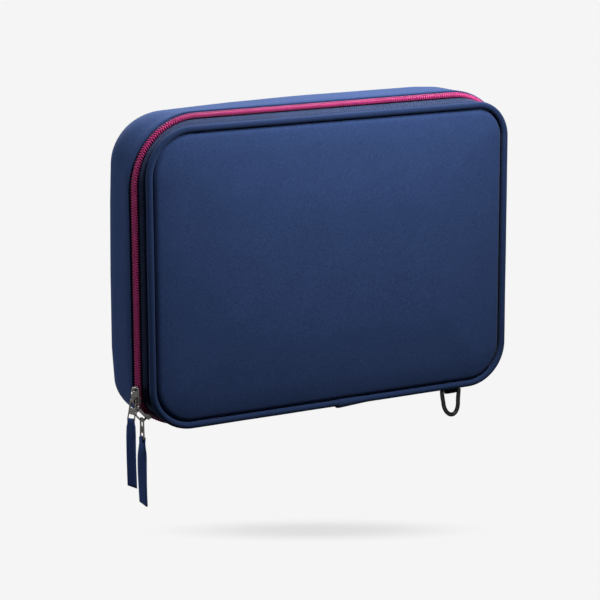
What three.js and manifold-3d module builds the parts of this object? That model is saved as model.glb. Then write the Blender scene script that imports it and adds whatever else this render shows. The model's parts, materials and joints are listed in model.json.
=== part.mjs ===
// A soft table-tennis racket case: a padded rear tray and a padded lid joined by a fabric hinge
// along the bottom and a two-slider coil zipper round the other three sides.
// Millimetres. +X is right seen from the front, +Y points to the back, +Z is up.
// The origin is the middle of the flat back face.

import * as THREE from 'three';
import { mergeVertices } from 'three/addons/utils/BufferGeometryUtils.js';
import Module from 'manifold-3d';

// ---------------------------------------------------------------- driving dimensions

// Overall
const PANEL_WIDTH = 274.4; // lid's front panel, across the groove round it
const PANEL_HEIGHT = 196.8;
const CASE_DEPTH = 55; // from that groove to the flat back
const TOP_RADIUS = 35; // front panel's upper corners
const BOTTOM_RADIUS = 26; // front panel's lower corners
const CORNER_STEPS = 8;

// Lid
const PANEL_DOME = 3.4; // how far the padding stands in front of the groove
const DOME_STEPS = 5;
const DOME_FULLNESS = 0.62; // below 1 the padding rises faster from its edge
const GROOVE_GAP = 0.6;
const PIPING_DIAMETER = 4.9;
const PIPING_DEPTH = 0.6; // centre of the piping behind the groove line
const BOARD_THICKNESS = 1.5;
const LINING_THICKNESS = 1;

// Zipper band: front tape, coil and rear tape, slanted outwards from the piping to the tray
const BAND_SLANT = THREE.MathUtils.degToRad(44.5);
const BAND_TURN = THREE.MathUtils.degToRad(34); // arc over which it turns to face down at the bottom
const TAPE_SHOWING = 5.3; // front tape between piping and coil
const COIL_WIDTH = 5.4;
const COIL_HEIGHT = 2.3;
const REAR_TAPE_SHOWING = 0.8;
const TAPE_THICKNESS = 1;
const COIL_SINK = 0.7; // the tape dips this far under the coil
const ZIPPER_PAST_LEFT = 11.2; // how far the zipper runs along the bottom past each lower corner
const ZIPPER_PAST_RIGHT = 3.2;
const STOP_LENGTH = 1.6;

// Tray
const SHELL_WALL = 4;
const SHELL_BULGE = 0.6; // the tray's sides stand this far outside its lip
const SHELL_BOTTOM_DROP = 4; // the tray's bottom below the front panel's groove
const BACK_ROUND = 24; // how far in front of the back its edge starts to round
const BACK_INSET = 20; // how far the back edge rounds in
const REAR_CORNER_TIGHTER = 12; // upper corners of the tray are this much tighter than the lid's
const LIP_RISE = 2;
const BINDING_DEPTH = 3; // edge binding inside the tray's mouth
const BINDING_THICKNESS = 1.6;
const ROUNDING_STEPS = 6;

// Sliders, pullers and ribbons
const SLIDER_LENGTH = 12;
const SLIDER_WIDTH = 7.6;
const SLIDER_END_WIDTH = 5.5;
const SLIDER_SHOULDER = 2.3; // length of the upper taper
const SLIDER_TAPER = 5.4; // length of the lower taper
const SLIDER_PLATE = 1.3;
const SLIDER_STANDOFF = 2.2; // middle of the coil to the inside of the plate
const SLIDER_A_BELOW = 4.1; // below the upper end of the lower left corner
const SLIDER_A_FACING = THREE.MathUtils.degToRad(33); // turned forward from facing left
const SLIDER_B_ANGLE = THREE.MathUtils.degToRad(35); // down the corner from its upper end
const BRIDGE_WIDTH = 2.2;
const BRIDGE_THICKNESS = 1.1;
const BRIDGE_HALF_LENGTH = 4.6;
const BRIDGE_CHAMFER = 0.8;
const PULLER_LENGTH = 14;
const PULLER_THICKNESS = 1.2;
const PULLER_TOP_WIDTH = 5.4;
const PULLER_END_WIDTH = 6;
const PULLER_EYE_WIDTH = 3.4;
const PULLER_EYE_LENGTH = 4.4;
const PULLER_SLOT_WIDTH = 4.5;
const PULLER_SLOT_LENGTH = 3.3;
const PULLER_BAR = 1.2;
const PULLER_CHAMFER = 0.8;
const BAR_ROOM = 1.3; // between the slider's plate and the puller's upper bar
const RIBBON_WIDTH = 6.4;
const RIBBON_LENGTH = 46.5; // below the puller's bar
const RIBBON_LAYER = 0.6;
const RIBBON_SHOULDER = 2.5; // length over which it widens below the slot
const RIBBON_SLANT = 2; // of its cut end
const RIBBON_TWIST = THREE.MathUtils.degToRad(31); // from the slot to its end
const TWIST_LENGTH = 12;
const TWIST_STEPS = 5;

// Ring and its webbing loop
const RING_WIRE = 3.1;
const RING_INNER_WIDTH = 11.5;
const RING_HEIGHT = 20.2; // between wire centres
const RING_CORNER = 2.5; // radius of its upper corners, to the wire's centre
const RING_DEPTH = 7.5;
const LOOP_WIDTH = 10;
const LOOP_THICKNESS = 1.2;
const LOOP_RISE = 1.3; // from the top of the wrapped ring to the seam
const LOOP_SEAM = 3.5; // length sewn together at the rear

// Inside
const STRAP_WIDTH = 38;
const STRAP_SIDE = 42; // from each end of the strap to the front panel's side
const STRAP_THICKNESS = 1.4;
const STRAP_BELOW_MIDDLE = 18;
const POCKET_SIDE = 32; // from the pocket to the front panel's side, lower and upper edges
const POCKET_BELOW = 16;
const POCKET_ABOVE = 62;
const POCKET_THICKNESS = 1;
const HEM_HEIGHT = 12;
const HEM_THICKNESS = 1.8;

// Clearances
const GAP = 0.3; // pieces sewn or glued together
const HALF_GAP = GAP / 2;
const RUNNING_GAP = 0.35; // pieces that turn or slide on each other

// ---------------------------------------------------------------- derived values

const BAND_ALONG = { out: Math.cos(BAND_SLANT), back: Math.sin(BAND_SLANT) };
const COIL_MIDDLE = TAPE_SHOWING + COIL_WIDTH / 2; // along the band
const BAND_LENGTH = TAPE_SHOWING + COIL_WIDTH + REAR_TAPE_SHOWING;
const COIL_BASE = GAP - COIL_SINK;
const COIL_CENTRE = COIL_BASE + COIL_HEIGHT / 2; // above the band
const PIPING_OUT = GROOVE_GAP - GAP + PIPING_DIAMETER / 2;
const BAND_START = {
  out: PIPING_OUT + PIPING_DIAMETER / 4,
  back: PIPING_DEPTH + PIPING_DIAMETER / 2 + GAP,
  bottomOut: PIPING_OUT - PIPING_DIAMETER / 6,
};
const SIDE = PANEL_WIDTH / 2;
const BOTTOM = -PANEL_HEIGHT / 2;
const ZIPPER_END_LEFT = -SIDE + BOTTOM_RADIUS + ZIPPER_PAST_LEFT;
const ZIPPER_END_RIGHT = SIDE - BOTTOM_RADIUS - ZIPPER_PAST_RIGHT;
const DOME_REACH = Math.min(TOP_RADIUS, BOTTOM_RADIUS) - PANEL_DOME / 2;
const SHELL_STRAIGHT = CASE_DEPTH - BACK_ROUND;
const SHELL_SIDE = BAND_START.out + BAND_LENGTH * BAND_ALONG.out + SHELL_BULGE;
const PANEL_BACK = PIPING_DEPTH + PIPING_DIAMETER / 2; // the panel's rear face behind the groove
const BOARD_DEPTH = PANEL_BACK + GAP;
const LID_LINING_DEPTH = BOARD_DEPTH + BOARD_THICKNESS + GAP;
const INSIDE_LID_DEPTH = LID_LINING_DEPTH + LINING_THICKNESS;
const REAR_BOARD_DEPTH = CASE_DEPTH - SHELL_WALL - GAP - BOARD_THICKNESS;
const REAR_LINING_DEPTH = REAR_BOARD_DEPTH - GAP - LINING_THICKNESS;
const POCKET_WIDTH = PANEL_WIDTH - 2 * POCKET_SIDE;
const POCKET_TOP = -BOTTOM - POCKET_ABOVE;
const BAR_OUT = SLIDER_STANDOFF + SLIDER_PLATE + BAR_ROOM + PULLER_BAR / 2;
const BRIDGE_INSIDE = BAR_OUT + PULLER_BAR / 2 + RUNNING_GAP;
const BAR_DOWN = BRIDGE_HALF_LENGTH - BRIDGE_THICKNESS - RUNNING_GAP - PULLER_BAR / 2;
const RIBBON_HANG = PULLER_LENGTH - PULLER_BAR / 2; // from the puller's pivot to the ribbon's
const LOOP_INSIDE = RING_WIRE / 2 + RUNNING_GAP;
const LOOP_OUTSIDE = LOOP_INSIDE + LOOP_THICKNESS;
const LOOP_TOP = LOOP_OUTSIDE + LOOP_RISE;
const RING_PLACE = [
  ZIPPER_END_RIGHT - GAP - STOP_LENGTH - GAP - LOOP_WIDTH / 2,
  -CASE_DEPTH + RING_DEPTH,
  BOTTOM - BAND_START.bottomOut - GAP - LOOP_TOP,
];

// ---------------------------------------------------------------- solids

const wasm = await Module();
wasm.setup();

function toSolid(geometry) {
  const bare = new THREE.BufferGeometry();
  bare.setAttribute('position', geometry.getAttribute('position').clone());
  if (geometry.index) bare.setIndex(geometry.index.clone());
  const merged = mergeVertices(bare, 1e-4);
  const vertProperties = Float32Array.from(merged.getAttribute('position').array);
  const triVerts = Uint32Array.from(merged.index.array);
  return new wasm.Manifold(new wasm.Mesh({ numProp: 3, vertProperties, triVerts }));
}

function toGeometry(solid) {
  const mesh = solid.getMesh();
  const geometry = new THREE.BufferGeometry();
  geometry.setAttribute('position', new THREE.BufferAttribute(mesh.vertProperties, 3));
  geometry.setIndex(new THREE.BufferAttribute(mesh.triVerts, 1));
  geometry.computeVertexNormals();
  return geometry;
}

function signedVolume(points, faces) {
  let total = 0;
  for (const [a, b, c] of faces) {
    total += points[a].dot(new THREE.Vector3().crossVectors(points[b], points[c])) / 6;
  }
  return total;
}

/** A closed mesh from points and triangles, turned so that its faces point out. */
function closedGeometry(points, faces) {
  const inward = signedVolume(points, faces) < 0;
  const index = faces.flatMap(([a, b, c]) => (inward ? [a, c, b] : [a, b, c]));
  const geometry = new THREE.BufferGeometry().setFromPoints(points);
  geometry.setIndex(index);
  geometry.computeVertexNormals();
  return geometry;
}

/** Triangles between two rings of point numbers. */
function stitch(first, second, closed) {
  const faces = [];
  const count = first.length - (closed ? 0 : 1);
  for (let i = 0; i < count; i += 1) {
    const j = (i + 1) % first.length;
    faces.push([first[i], first[j], second[j]], [first[i], second[j], second[i]]);
  }
  return faces;
}

/** A body through a list of closed outlines, with a flat cap on the first and the last. */
function loft(rings) {
  const size = rings[0].length;
  const points = rings.flat();
  const numbers = rings.map((ring, r) => ring.map((_, i) => r * size + i));
  const faces = [];
  for (let r = 0; r + 1 < rings.length; r += 1) {
    faces.push(...stitch(numbers[r], numbers[r + 1], true));
  }
  const cap = (ring, order) => {
    const centre = points.length;
    const middle = ring.reduce((sum, p) => sum.add(p), new THREE.Vector3());
    points.push(middle.divideScalar(size));
    return order.map((a, i) => [centre, a, order[(i + 1) % size]]);
  };
  faces.push(...cap(rings[0], [...numbers[0]].reverse()));
  faces.push(...cap(rings.at(-1), numbers.at(-1)));
  return closedGeometry(points, faces);
}

/** A body with one line of points for each corner of its section, which is needed when it has ends. */
function sweep(lines, closed, section) {
  const size = lines[0].length;
  const points = lines.flat();
  const numbers = lines.map((line, k) => line.map((_, i) => k * size + i));
  const faces = [];
  for (let k = 0; k < lines.length; k += 1) {
    faces.push(...stitch(numbers[k], numbers[(k + 1) % lines.length], closed));
  }
  if (!closed) {
    const corners = section.map(([along, above]) => new THREE.Vector2(along, above));
    const turned = THREE.ShapeUtils.isClockWise(corners);
    for (const [a, b, c] of THREE.ShapeUtils.triangulateShape(corners, [])) {
      const [p, q, r] = turned ? [a, b, c] : [a, c, b];
      faces.push([numbers[p][0], numbers[r][0], numbers[q][0]]);
      faces.push([numbers[p][size - 1], numbers[q][size - 1], numbers[r][size - 1]]);
    }
  }
  return closedGeometry(points, faces);
}

/** An outline in x and y, extruded evenly both ways along z. */
function slab(corners, thickness, holes = []) {
  const shape = new THREE.Shape(corners.map(([x, y]) => new THREE.Vector2(x, y)));
  for (const hole of holes) {
    shape.holes.push(new THREE.Path(hole.map(([x, y]) => new THREE.Vector2(x, y))));
  }
  const geometry = new THREE.ExtrudeGeometry(shape, { depth: thickness, bevelEnabled: false });
  return geometry.translate(0, 0, -thickness / 2);
}

/** Points on an arc between two angles in degrees, with both ends. */
function arc(radius, from, to, steps) {
  const corners = [];
  for (let i = 0; i <= steps; i += 1) {
    const a = THREE.MathUtils.degToRad(THREE.MathUtils.lerp(from, to, i / steps));
    corners.push([radius * Math.cos(a), radius * Math.sin(a)]);
  }
  return corners;
}

function circle(radius, steps) {
  return arc(radius, 0, 360 - 360 / steps, steps - 1);
}

function rectangle(width, low, high) {
  return [[-width / 2, low], [width / 2, low], [width / 2, high], [-width / 2, high]];
}

// ---------------------------------------------------------------- outlines round the case

/** Places round the front panel's outline, from the bottom's right end up, over and down the left. */
function outlinePlaces() {
  const places = [];
  const corner = (sideways, upwards, from) => {
    const radius = upwards > 0 ? TOP_RADIUS : BOTTOM_RADIUS;
    for (let i = 0; i <= CORNER_STEPS; i += 1) {
      const angle = from + (i / CORNER_STEPS) * (Math.PI / 2);
      const below = upwards > 0 ? 0 : Math.asin(Math.min(1, Math.abs(Math.sin(angle))));
      const turn = THREE.MathUtils.smoothstep(below, 0, BAND_TURN);
      const x = sideways * (SIDE - radius);
      const z = upwards * (-BOTTOM - radius);
      const direction = { cos: Math.cos(angle), sin: Math.sin(angle) };
      places.push({ x, z, radius, turn, sideways, upwards, ...direction });
    }
  };
  corner(1, -1, -Math.PI / 2);
  corner(1, 1, 0);
  corner(-1, 1, Math.PI / 2);
  corner(-1, -1, Math.PI);
  return places;
}

const PLACES = outlinePlaces();

/** The point at one place for a station: how far out and back it is, there and along the bottom. */
function pointAt(place, station) {
  const { out, back, bottomOut = out, bottomBack = back, tighter = 0 } = station;
  const tight = place.upwards > 0 ? tighter : 0;
  const radius = place.radius - tight;
  const rise = place.upwards > 0 ? out : bottomOut;
  return new THREE.Vector3(
    place.x + place.sideways * tight + (radius + out) * place.cos,
    -CASE_DEPTH + THREE.MathUtils.lerp(back, bottomBack, place.turn),
    place.z + place.upwards * tight + (radius + rise) * place.sin,
  );
}

function ring(station) {
  return PLACES.map((place) => pointAt(place, station));
}

/** The same outline, open along the bottom between the two ends of the zipper. */
function openLine(station) {
  const line = ring(station);
  line.unshift(line[0].clone().setX(ZIPPER_END_RIGHT));
  line.push(line.at(-1).clone().setX(ZIPPER_END_LEFT));
  return line;
}

/** A station on the zipper band, by its distance along the band and its height above it. */
function bandStation(along, above) {
  return {
    out: BAND_START.out + along * BAND_ALONG.out + above * BAND_ALONG.back,
    back: BAND_START.back + along * BAND_ALONG.back - above * BAND_ALONG.out,
    bottomOut: BAND_START.bottomOut + above,
    bottomBack: BAND_START.back + along,
  };
}

function bandSweep(section) {
  return sweep(section.map(([along, above]) => openLine(bandStation(along, above))), false, section);
}

// ---------------------------------------------------------------- rear tray

/** Stations of the tray's wall, from its lip to its flat back, this far inside its outer face. */
function trayStations(inset, lipInset, backDepth) {
  const lip = bandStation(BAND_LENGTH, -lipInset);
  const side = SHELL_SIDE - inset;
  const bottomOut = SHELL_BOTTOM_DROP - inset;
  const depth = Math.max(bandStation(BAND_LENGTH, -SHELL_WALL).back, lip.bottomBack) + LIP_RISE;
  const stations = [lip];
  stations.push({ out: side, back: depth, bottomOut, tighter: REAR_CORNER_TIGHTER / 4 });
  const tighter = REAR_CORNER_TIGHTER;
  for (let i = 0; i <= ROUNDING_STEPS; i += 1) {
    const a = (i / ROUNDING_STEPS) * (Math.PI / 2);
    const round = (BACK_INSET - inset) * (1 - Math.cos(a));
    const back = SHELL_STRAIGHT + (backDepth - SHELL_STRAIGHT) * Math.sin(a);
    stations.push({ out: side - round, back, bottomOut: bottomOut - round, tighter });
  }
  return stations;
}

function rearShell() {
  const outer = trayStations(0, 0, CASE_DEPTH);
  const inner = trayStations(SHELL_WALL, SHELL_WALL, CASE_DEPTH - SHELL_WALL);
  return loft([...inner.reverse(), ...outer].map(ring));
}

/** The lining starts behind the edge binding and lies against the tray's wall. */
function rearLining() {
  const skin = (inset, backDepth) => {
    const stations = trayStations(inset, inset, backDepth).slice(1);
    stations[0].back += BINDING_DEPTH;
    return stations;
  };
  const outer = skin(SHELL_WALL + GAP, REAR_LINING_DEPTH + LINING_THICKNESS);
  const inner = skin(SHELL_WALL + GAP + LINING_THICKNESS, REAR_LINING_DEPTH);
  return loft([...inner.reverse(), ...outer].map(ring));
}

/** Binding round the tray's mouth, just in front of the lining. */
function rearBinding() {
  const [, mouth] = trayStations(SHELL_WALL + GAP, 0, REAR_LINING_DEPTH);
  const depth = BINDING_DEPTH - GAP;
  const section = [[0, 0], [0, depth], [BINDING_THICKNESS, depth], [BINDING_THICKNESS, 0]];
  const lines = section.map(([inward, back]) => ring({
    ...mouth,
    out: mouth.out - inward,
    bottomOut: mouth.bottomOut - inward,
    back: mouth.back + back,
  }));
  return sweep(lines, true);
}

/** A flat sheet between two outlines, one on its front face and one on its rear face. */
function sheet(front, rear, thickness) {
  return loft([ring(front), ring({ ...rear, back: front.back + thickness })]);
}

function backBoard() {
  const inset = BACK_INSET + LINING_THICKNESS;
  const edge = {
    out: SHELL_SIDE - inset,
    bottomOut: SHELL_BOTTOM_DROP - inset,
    back: REAR_BOARD_DEPTH,
    tighter: REAR_CORNER_TIGHTER,
  };
  return sheet(edge, edge, BOARD_THICKNESS);
}

function racketStrap() {
  const length = PANEL_WIDTH - 2 * STRAP_SIDE;
  const geometry = new THREE.BoxGeometry(length, STRAP_THICKNESS, STRAP_WIDTH);
  const back = REAR_LINING_DEPTH - GAP - STRAP_THICKNESS / 2;
  return geometry.translate(0, -CASE_DEPTH + back, -STRAP_BELOW_MIDDLE);
}

// ---------------------------------------------------------------- lid

/** The padding rises steeply from the groove and levels out at the dome's reach. */
function frontPanel() {
  const edge = -GROOVE_GAP;
  const stations = [{ out: edge, back: PANEL_BACK }, { out: edge, back: PIPING_DEPTH }];
  for (let i = 1; i <= DOME_STEPS; i += 1) {
    const inward = DOME_REACH * (i / DOME_STEPS) ** 2;
    const share = Math.sin((inward / DOME_REACH) * (Math.PI / 2)) ** DOME_FULLNESS;
    stations.push({ out: edge - inward, back: -PANEL_DOME * share });
  }
  return loft(stations.map(ring));
}

function frontPiping() {
  const bottomSink = PIPING_DIAMETER / 8; // pulled in a little along the hinge
  const lines = circle(PIPING_DIAMETER / 2, 10).map(([out, back]) => ring({
    out: PIPING_OUT + out,
    back: PIPING_DEPTH + back,
    bottomOut: PIPING_OUT + out - bottomSink,
  }));
  return sweep(lines, true);
}

function lidBoard() {
  const edge = {
    out: BAND_START.out - 2 * TAPE_THICKNESS,
    bottomOut: BAND_START.bottomOut - 2 * TAPE_THICKNESS,
    back: BOARD_DEPTH,
  };
  return sheet(edge, edge, BOARD_THICKNESS);
}

/** Its edge is cut to the slant of the tape that it meets. */
function lidLining() {
  const at = (depth) => {
    const along = (depth - BAND_START.back - TAPE_THICKNESS * BAND_ALONG.out) / BAND_ALONG.back;
    const tape = bandStation(along, -TAPE_THICKNESS - GAP);
    return { out: tape.out, bottomOut: tape.bottomOut - GAP, back: depth };
  };
  return sheet(at(LID_LINING_DEPTH), at(INSIDE_LID_DEPTH), LINING_THICKNESS);
}

function meshPocket() {
  const base = BOTTOM + POCKET_BELOW;
  const height = POCKET_TOP - HEM_HEIGHT - GAP - base;
  const geometry = new THREE.BoxGeometry(POCKET_WIDTH, POCKET_THICKNESS, height);
  const back = INSIDE_LID_DEPTH + GAP + POCKET_THICKNESS / 2;
  return geometry.translate(0, -CASE_DEPTH + back, base + height / 2);
}

function pocketHem() {
  const geometry = new THREE.BoxGeometry(POCKET_WIDTH, HEM_THICKNESS, HEM_HEIGHT);
  const back = INSIDE_LID_DEPTH + GAP + HEM_THICKNESS / 2;
  return geometry.translate(0, -CASE_DEPTH + back, POCKET_TOP - HEM_HEIGHT / 2);
}

/** The strip of fabric between the ends of the zipper. The lid turns on its front edge. */
function hingeFabric() {
  const right = ZIPPER_END_RIGHT - STOP_LENGTH - 2 * GAP;
  const left = ZIPPER_END_LEFT + STOP_LENGTH + 2 * GAP;
  const depth = BAND_LENGTH - 2 * GAP;
  const geometry = new THREE.BoxGeometry(right - left, depth, TAPE_THICKNESS);
  return geometry.translate(
    (right + left) / 2,
    -CASE_DEPTH + BAND_START.back + depth / 2,
    BOTTOM - BAND_START.bottomOut + TAPE_THICKNESS / 2,
  );
}

// ---------------------------------------------------------------- zipper

/** The front tape, stepped down under its half of the coil. */
function frontTape() {
  const inner = COIL_MIDDLE - HALF_GAP;
  const step = TAPE_SHOWING - GAP;
  const deep = -COIL_SINK - TAPE_THICKNESS;
  return bandSweep([
    [0, 0],
    [step, 0],
    [TAPE_SHOWING, -COIL_SINK],
    [inner, -COIL_SINK],
    [inner, deep],
    [step - TAPE_THICKNESS / 2, deep],
    [step - TAPE_THICKNESS, -TAPE_THICKNESS],
    [0, -TAPE_THICKNESS],
  ]);
}

function rearTape() {
  const inner = COIL_MIDDLE + HALF_GAP;
  const outer = BAND_LENGTH - GAP;
  const deep = -COIL_SINK - TAPE_THICKNESS;
  return bandSweep([[inner, -COIL_SINK], [outer, -COIL_SINK], [outer, deep], [inner, deep]]);
}

/** One half of the coil; side is -1 for the lid's half and 1 for the tray's. */
function coilHalf(side) {
  const half = COIL_WIDTH / 2;
  const profile = [
    [HALF_GAP, 0],
    [half * 0.8, 0],
    [half, COIL_HEIGHT * 0.35],
    [half * 0.9, COIL_HEIGHT * 0.72],
    [half * 0.6, COIL_HEIGHT * 0.94],
    [HALF_GAP, COIL_HEIGHT],
  ];
  return bandSweep(profile.map(([along, above]) => [COIL_MIDDLE + side * along, COIL_BASE + above]));
}

/** A metal staple on the tray's half of the coil, just past its end. */
function zipperStop(side) {
  const end = side < 0 ? ZIPPER_END_LEFT : ZIPPER_END_RIGHT;
  const geometry = new THREE.BoxGeometry(STOP_LENGTH, COIL_WIDTH / 2, COIL_HEIGHT);
  return geometry.translate(
    end - side * (STOP_LENGTH / 2 + GAP),
    -CASE_DEPTH + BAND_START.back + COIL_MIDDLE + HALF_GAP + COIL_WIDTH / 4,
    BOTTOM - BAND_START.bottomOut - COIL_CENTRE,
  );
}

// ---------------------------------------------------------------- sliders, pullers and ribbons

// In a slider's frame x runs across the coil, y out from it and z up along it. The origin is the
// middle of the coil.

const UP = new THREE.Vector3(0, 0, 1);

/** Turns a slab drawn in x and y so that they become y and z, and its thickness lies along x. */
function standUp(geometry) {
  return geometry.rotateX(Math.PI / 2).rotateZ(Math.PI / 2);
}

function sliderBody() {
  const wide = SLIDER_WIDTH / 2;
  const narrow = SLIDER_END_WIDTH / 2;
  const end = SLIDER_LENGTH / 2;
  const shoulder = end - SLIDER_SHOULDER;
  const taper = SLIDER_TAPER - end;
  const outline = [
    [-narrow, -end], [narrow, -end], [wide, taper], [wide, shoulder],
    [narrow, end], [-narrow, end], [-wide, shoulder], [-wide, taper],
  ];
  const plate = slab(outline, SLIDER_PLATE).rotateX(Math.PI / 2);
  plate.translate(0, SLIDER_STANDOFF + SLIDER_PLATE / 2, 0);
  const foot = SLIDER_STANDOFF + SLIDER_PLATE / 2;
  const top = BRIDGE_INSIDE + BRIDGE_THICKNESS;
  const long = BRIDGE_HALF_LENGTH;
  const inside = long - BRIDGE_THICKNESS;
  const bevelOut = top - BRIDGE_CHAMFER;
  const bevelLong = long - BRIDGE_CHAMFER;
  const arch = [
    [foot, -long], [bevelOut, -long], [top, -bevelLong], [top, bevelLong], [bevelOut, long],
    [foot, long], [foot, inside], [BRIDGE_INSIDE, inside], [BRIDGE_INSIDE, -inside], [foot, -inside],
  ];
  const bridge = standUp(slab(arch, BRIDGE_WIDTH));
  return toGeometry(toSolid(plate).add(toSolid(bridge)));
}

/** Hangs from the middle of its top bar. An eye takes the bridge and a slot takes the ribbon. */
function puller() {
  const top = PULLER_TOP_WIDTH / 2;
  const end = PULLER_END_WIDTH / 2;
  const half = PULLER_BAR / 2;
  const low = -PULLER_LENGTH;
  const outline = [
    [-top + PULLER_CHAMFER, half], [-top, half - PULLER_CHAMFER],
    [-end, low + PULLER_CHAMFER], [-end + PULLER_CHAMFER, low],
    [end - PULLER_CHAMFER, low], [end, low + PULLER_CHAMFER],
    [top, half - PULLER_CHAMFER], [top - PULLER_CHAMFER, half],
  ];
  const eye = rectangle(PULLER_EYE_WIDTH, -half - PULLER_EYE_LENGTH, -half);
  const slotLow = low + PULLER_BAR;
  const slot = rectangle(PULLER_SLOT_WIDTH, slotLow, slotLow + PULLER_SLOT_LENGTH);
  return slab(outline, PULLER_THICKNESS, [eye, slot]).rotateX(Math.PI / 2);
}

/** Two flat layers that twist as they leave the slot: one ring of points for each height. */
function ribbonTail(start) {
  const neck = PULLER_SLOT_WIDTH / 2 - GAP;
  const half = RIBBON_WIDTH / 2;
  const level = (height, wide, turn, slant = 0) => {
    const corners = rectangle(2 * wide, -RIBBON_LAYER, RIBBON_LAYER);
    return corners.map(([x, y]) => (
      new THREE.Vector3(x, y, height - slant * Math.sign(x)).applyAxisAngle(UP, turn * RIBBON_TWIST)
    ));
  };
  const levels = [level(start, neck, 0)];
  for (let i = 0; i <= TWIST_STEPS; i += 1) {
    const share = i / TWIST_STEPS;
    levels.push(level(start - RIBBON_SHOULDER - share * TWIST_LENGTH, half, share));
  }
  levels.push(level(-RIBBON_LENGTH + RIBBON_SLANT / 2, half, 1, RIBBON_SLANT / 2));
  return loft(levels);
}

/** Hangs from the puller's lower bar: a folded loop, narrow in the slot, over its twisted tail. */
function ribbon() {
  const inside = Math.hypot(PULLER_BAR, PULLER_THICKNESS) / 2 + RUNNING_GAP / 2;
  const outside = inside + RIBBON_LAYER;
  const width = PULLER_SLOT_WIDTH - 2 * GAP;
  const loop = standUp(slab(circle(outside, 16), width, [circle(inside, 16)]));
  const tail = ribbonTail(-outside + RIBBON_LAYER / 2);
  return toGeometry(toSolid(loop).add(toSolid(tail)));
}

/** A frame at a point, with y facing out and z up along the coil. */
function placement(origin, outward, upward) {
  const across = new THREE.Vector3().crossVectors(outward, upward);
  return new THREE.Matrix4().makeBasis(across, outward, upward).setPosition(origin);
}

/** Slider A stands on the straight of the left side, slider B on the lower left corner. */
function sliderPlacements() {
  const middle = bandStation(COIL_MIDDLE, COIL_CENTRE);
  const heightA = BOTTOM + BOTTOM_RADIUS - SLIDER_A_BELOW;
  const origin = new THREE.Vector3(-SIDE - middle.out, -CASE_DEPTH + middle.back, heightA);
  const facing = new THREE.Vector3(-Math.cos(SLIDER_A_FACING), -Math.sin(SLIDER_A_FACING), 0);
  const a = placement(origin, facing, UP);

  const wide = BOTTOM_RADIUS + middle.out;
  const tall = BOTTOM_RADIUS + middle.bottomOut;
  const cos = Math.cos(SLIDER_B_ANGLE);
  const sin = Math.sin(SLIDER_B_ANGLE);
  const x = -SIDE + BOTTOM_RADIUS - wide * cos;
  const z = BOTTOM + BOTTOM_RADIUS - tall * sin;
  const outward = new THREE.Vector3(-tall * cos, 0, -wide * sin).normalize();
  const upward = new THREE.Vector3(outward.z, 0, -outward.x);
  const b = placement(new THREE.Vector3(x, -CASE_DEPTH + middle.bottomBack, z), outward, upward);
  return { a, b };
}

function sliderGroup(letter, place) {
  const group = new THREE.Group();
  const body = part(`slider_${letter}_body`, sliderBody(), MATERIALS.gunmetal);
  body.applyMatrix4(place);
  group.add(body);

  const pivot = new THREE.Vector3(0, BAR_OUT, -BAR_DOWN).applyMatrix4(place);
  const outward = new THREE.Vector3().setFromMatrixColumn(place, 1).setZ(0).normalize();
  const hanging = new THREE.Group();
  hanging.applyMatrix4(placement(pivot, outward, UP));
  hanging.add(part(`puller_${letter}`, puller(), MATERIALS.gunmetal));
  const tail = part(`ribbon_${letter}`, ribbon(), MATERIALS.ribbon);
  tail.position.z = -RIBBON_HANG;
  hanging.add(tail);
  group.add(hanging);
  return group;
}

// ---------------------------------------------------------------- ring and loop

/** A D of round wire: a straight bar at the top, legs and a half-round bow below. */
function dRing() {
  const half = (RING_INNER_WIDTH + RING_WIRE) / 2;
  const path = [];
  const bend = (x, z, radius, from, to, steps) => {
    for (const [cos, sin] of arc(1, from, to, steps)) {
      path.push({ x: x + radius * cos, z: z + radius * sin, cos, sin });
    }
  };
  bend(half - RING_CORNER, -RING_CORNER, RING_CORNER, 90, 0, 4);
  bend(0, -RING_HEIGHT + half, half, 0, -180, 12);
  bend(-half + RING_CORNER, -RING_CORNER, RING_CORNER, 180, 90, 4);
  const lines = circle(RING_WIRE / 2, 10).map(([out, back]) => path.map(
    ({ x, z, cos, sin }) => new THREE.Vector3(x + out * cos, back, z + out * sin),
  ));
  return sweep(lines, true).translate(...RING_PLACE);
}

/** Webbing from under the tray's lip, forward and round the ring's bar, and back to its own seam. */
function ringLoop() {
  const end = BAND_START.back + BAND_LENGTH - GAP - RING_DEPTH;
  const low = LOOP_TOP - 2 * LOOP_THICKNESS;
  const share = (end - LOOP_SEAM) / end; // where the hole's tip lies between the bar and the end
  const tip = THREE.MathUtils.lerp(0, (LOOP_TOP + low) / 2, share);
  const outline = [[end, LOOP_TOP], ...arc(LOOP_OUTSIDE, 90, 270, 12), [end, low]];
  const hole = [[end - LOOP_SEAM, tip], ...arc(LOOP_INSIDE, 60, 300, 14)];
  return standUp(slab(outline, LOOP_WIDTH, [hole])).translate(...RING_PLACE);
}

// ---------------------------------------------------------------- assembly

function material(colour, roughness, metalness = 0) {
  return new THREE.MeshStandardMaterial({ color: colour, roughness, metalness });
}

const MATERIALS = {
  shell: material(0x2c3a62, 0.75),
  trim: material(0x263352, 0.8),
  tape: material(0x28344f, 0.9),
  coil: material(0xb02a66, 0.45),
  lining: material(0x1f2536, 0.9),
  board: material(0x8d8f94, 0.8),
  elastic: material(0x17191f, 0.85),
  mesh: material(0x20242e, 0.9),
  ribbon: material(0x232f55, 0.6),
  webbing: material(0x15161a, 0.85),
  gunmetal: material(0x55534f, 0.35, 0.9),
  blackMetal: material(0x2a2a2b, 0.4, 0.8),
};

function part(name, geometry, finish) {
  const mesh = new THREE.Mesh(geometry, finish);
  mesh.name = name;
  return mesh;
}

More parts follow.
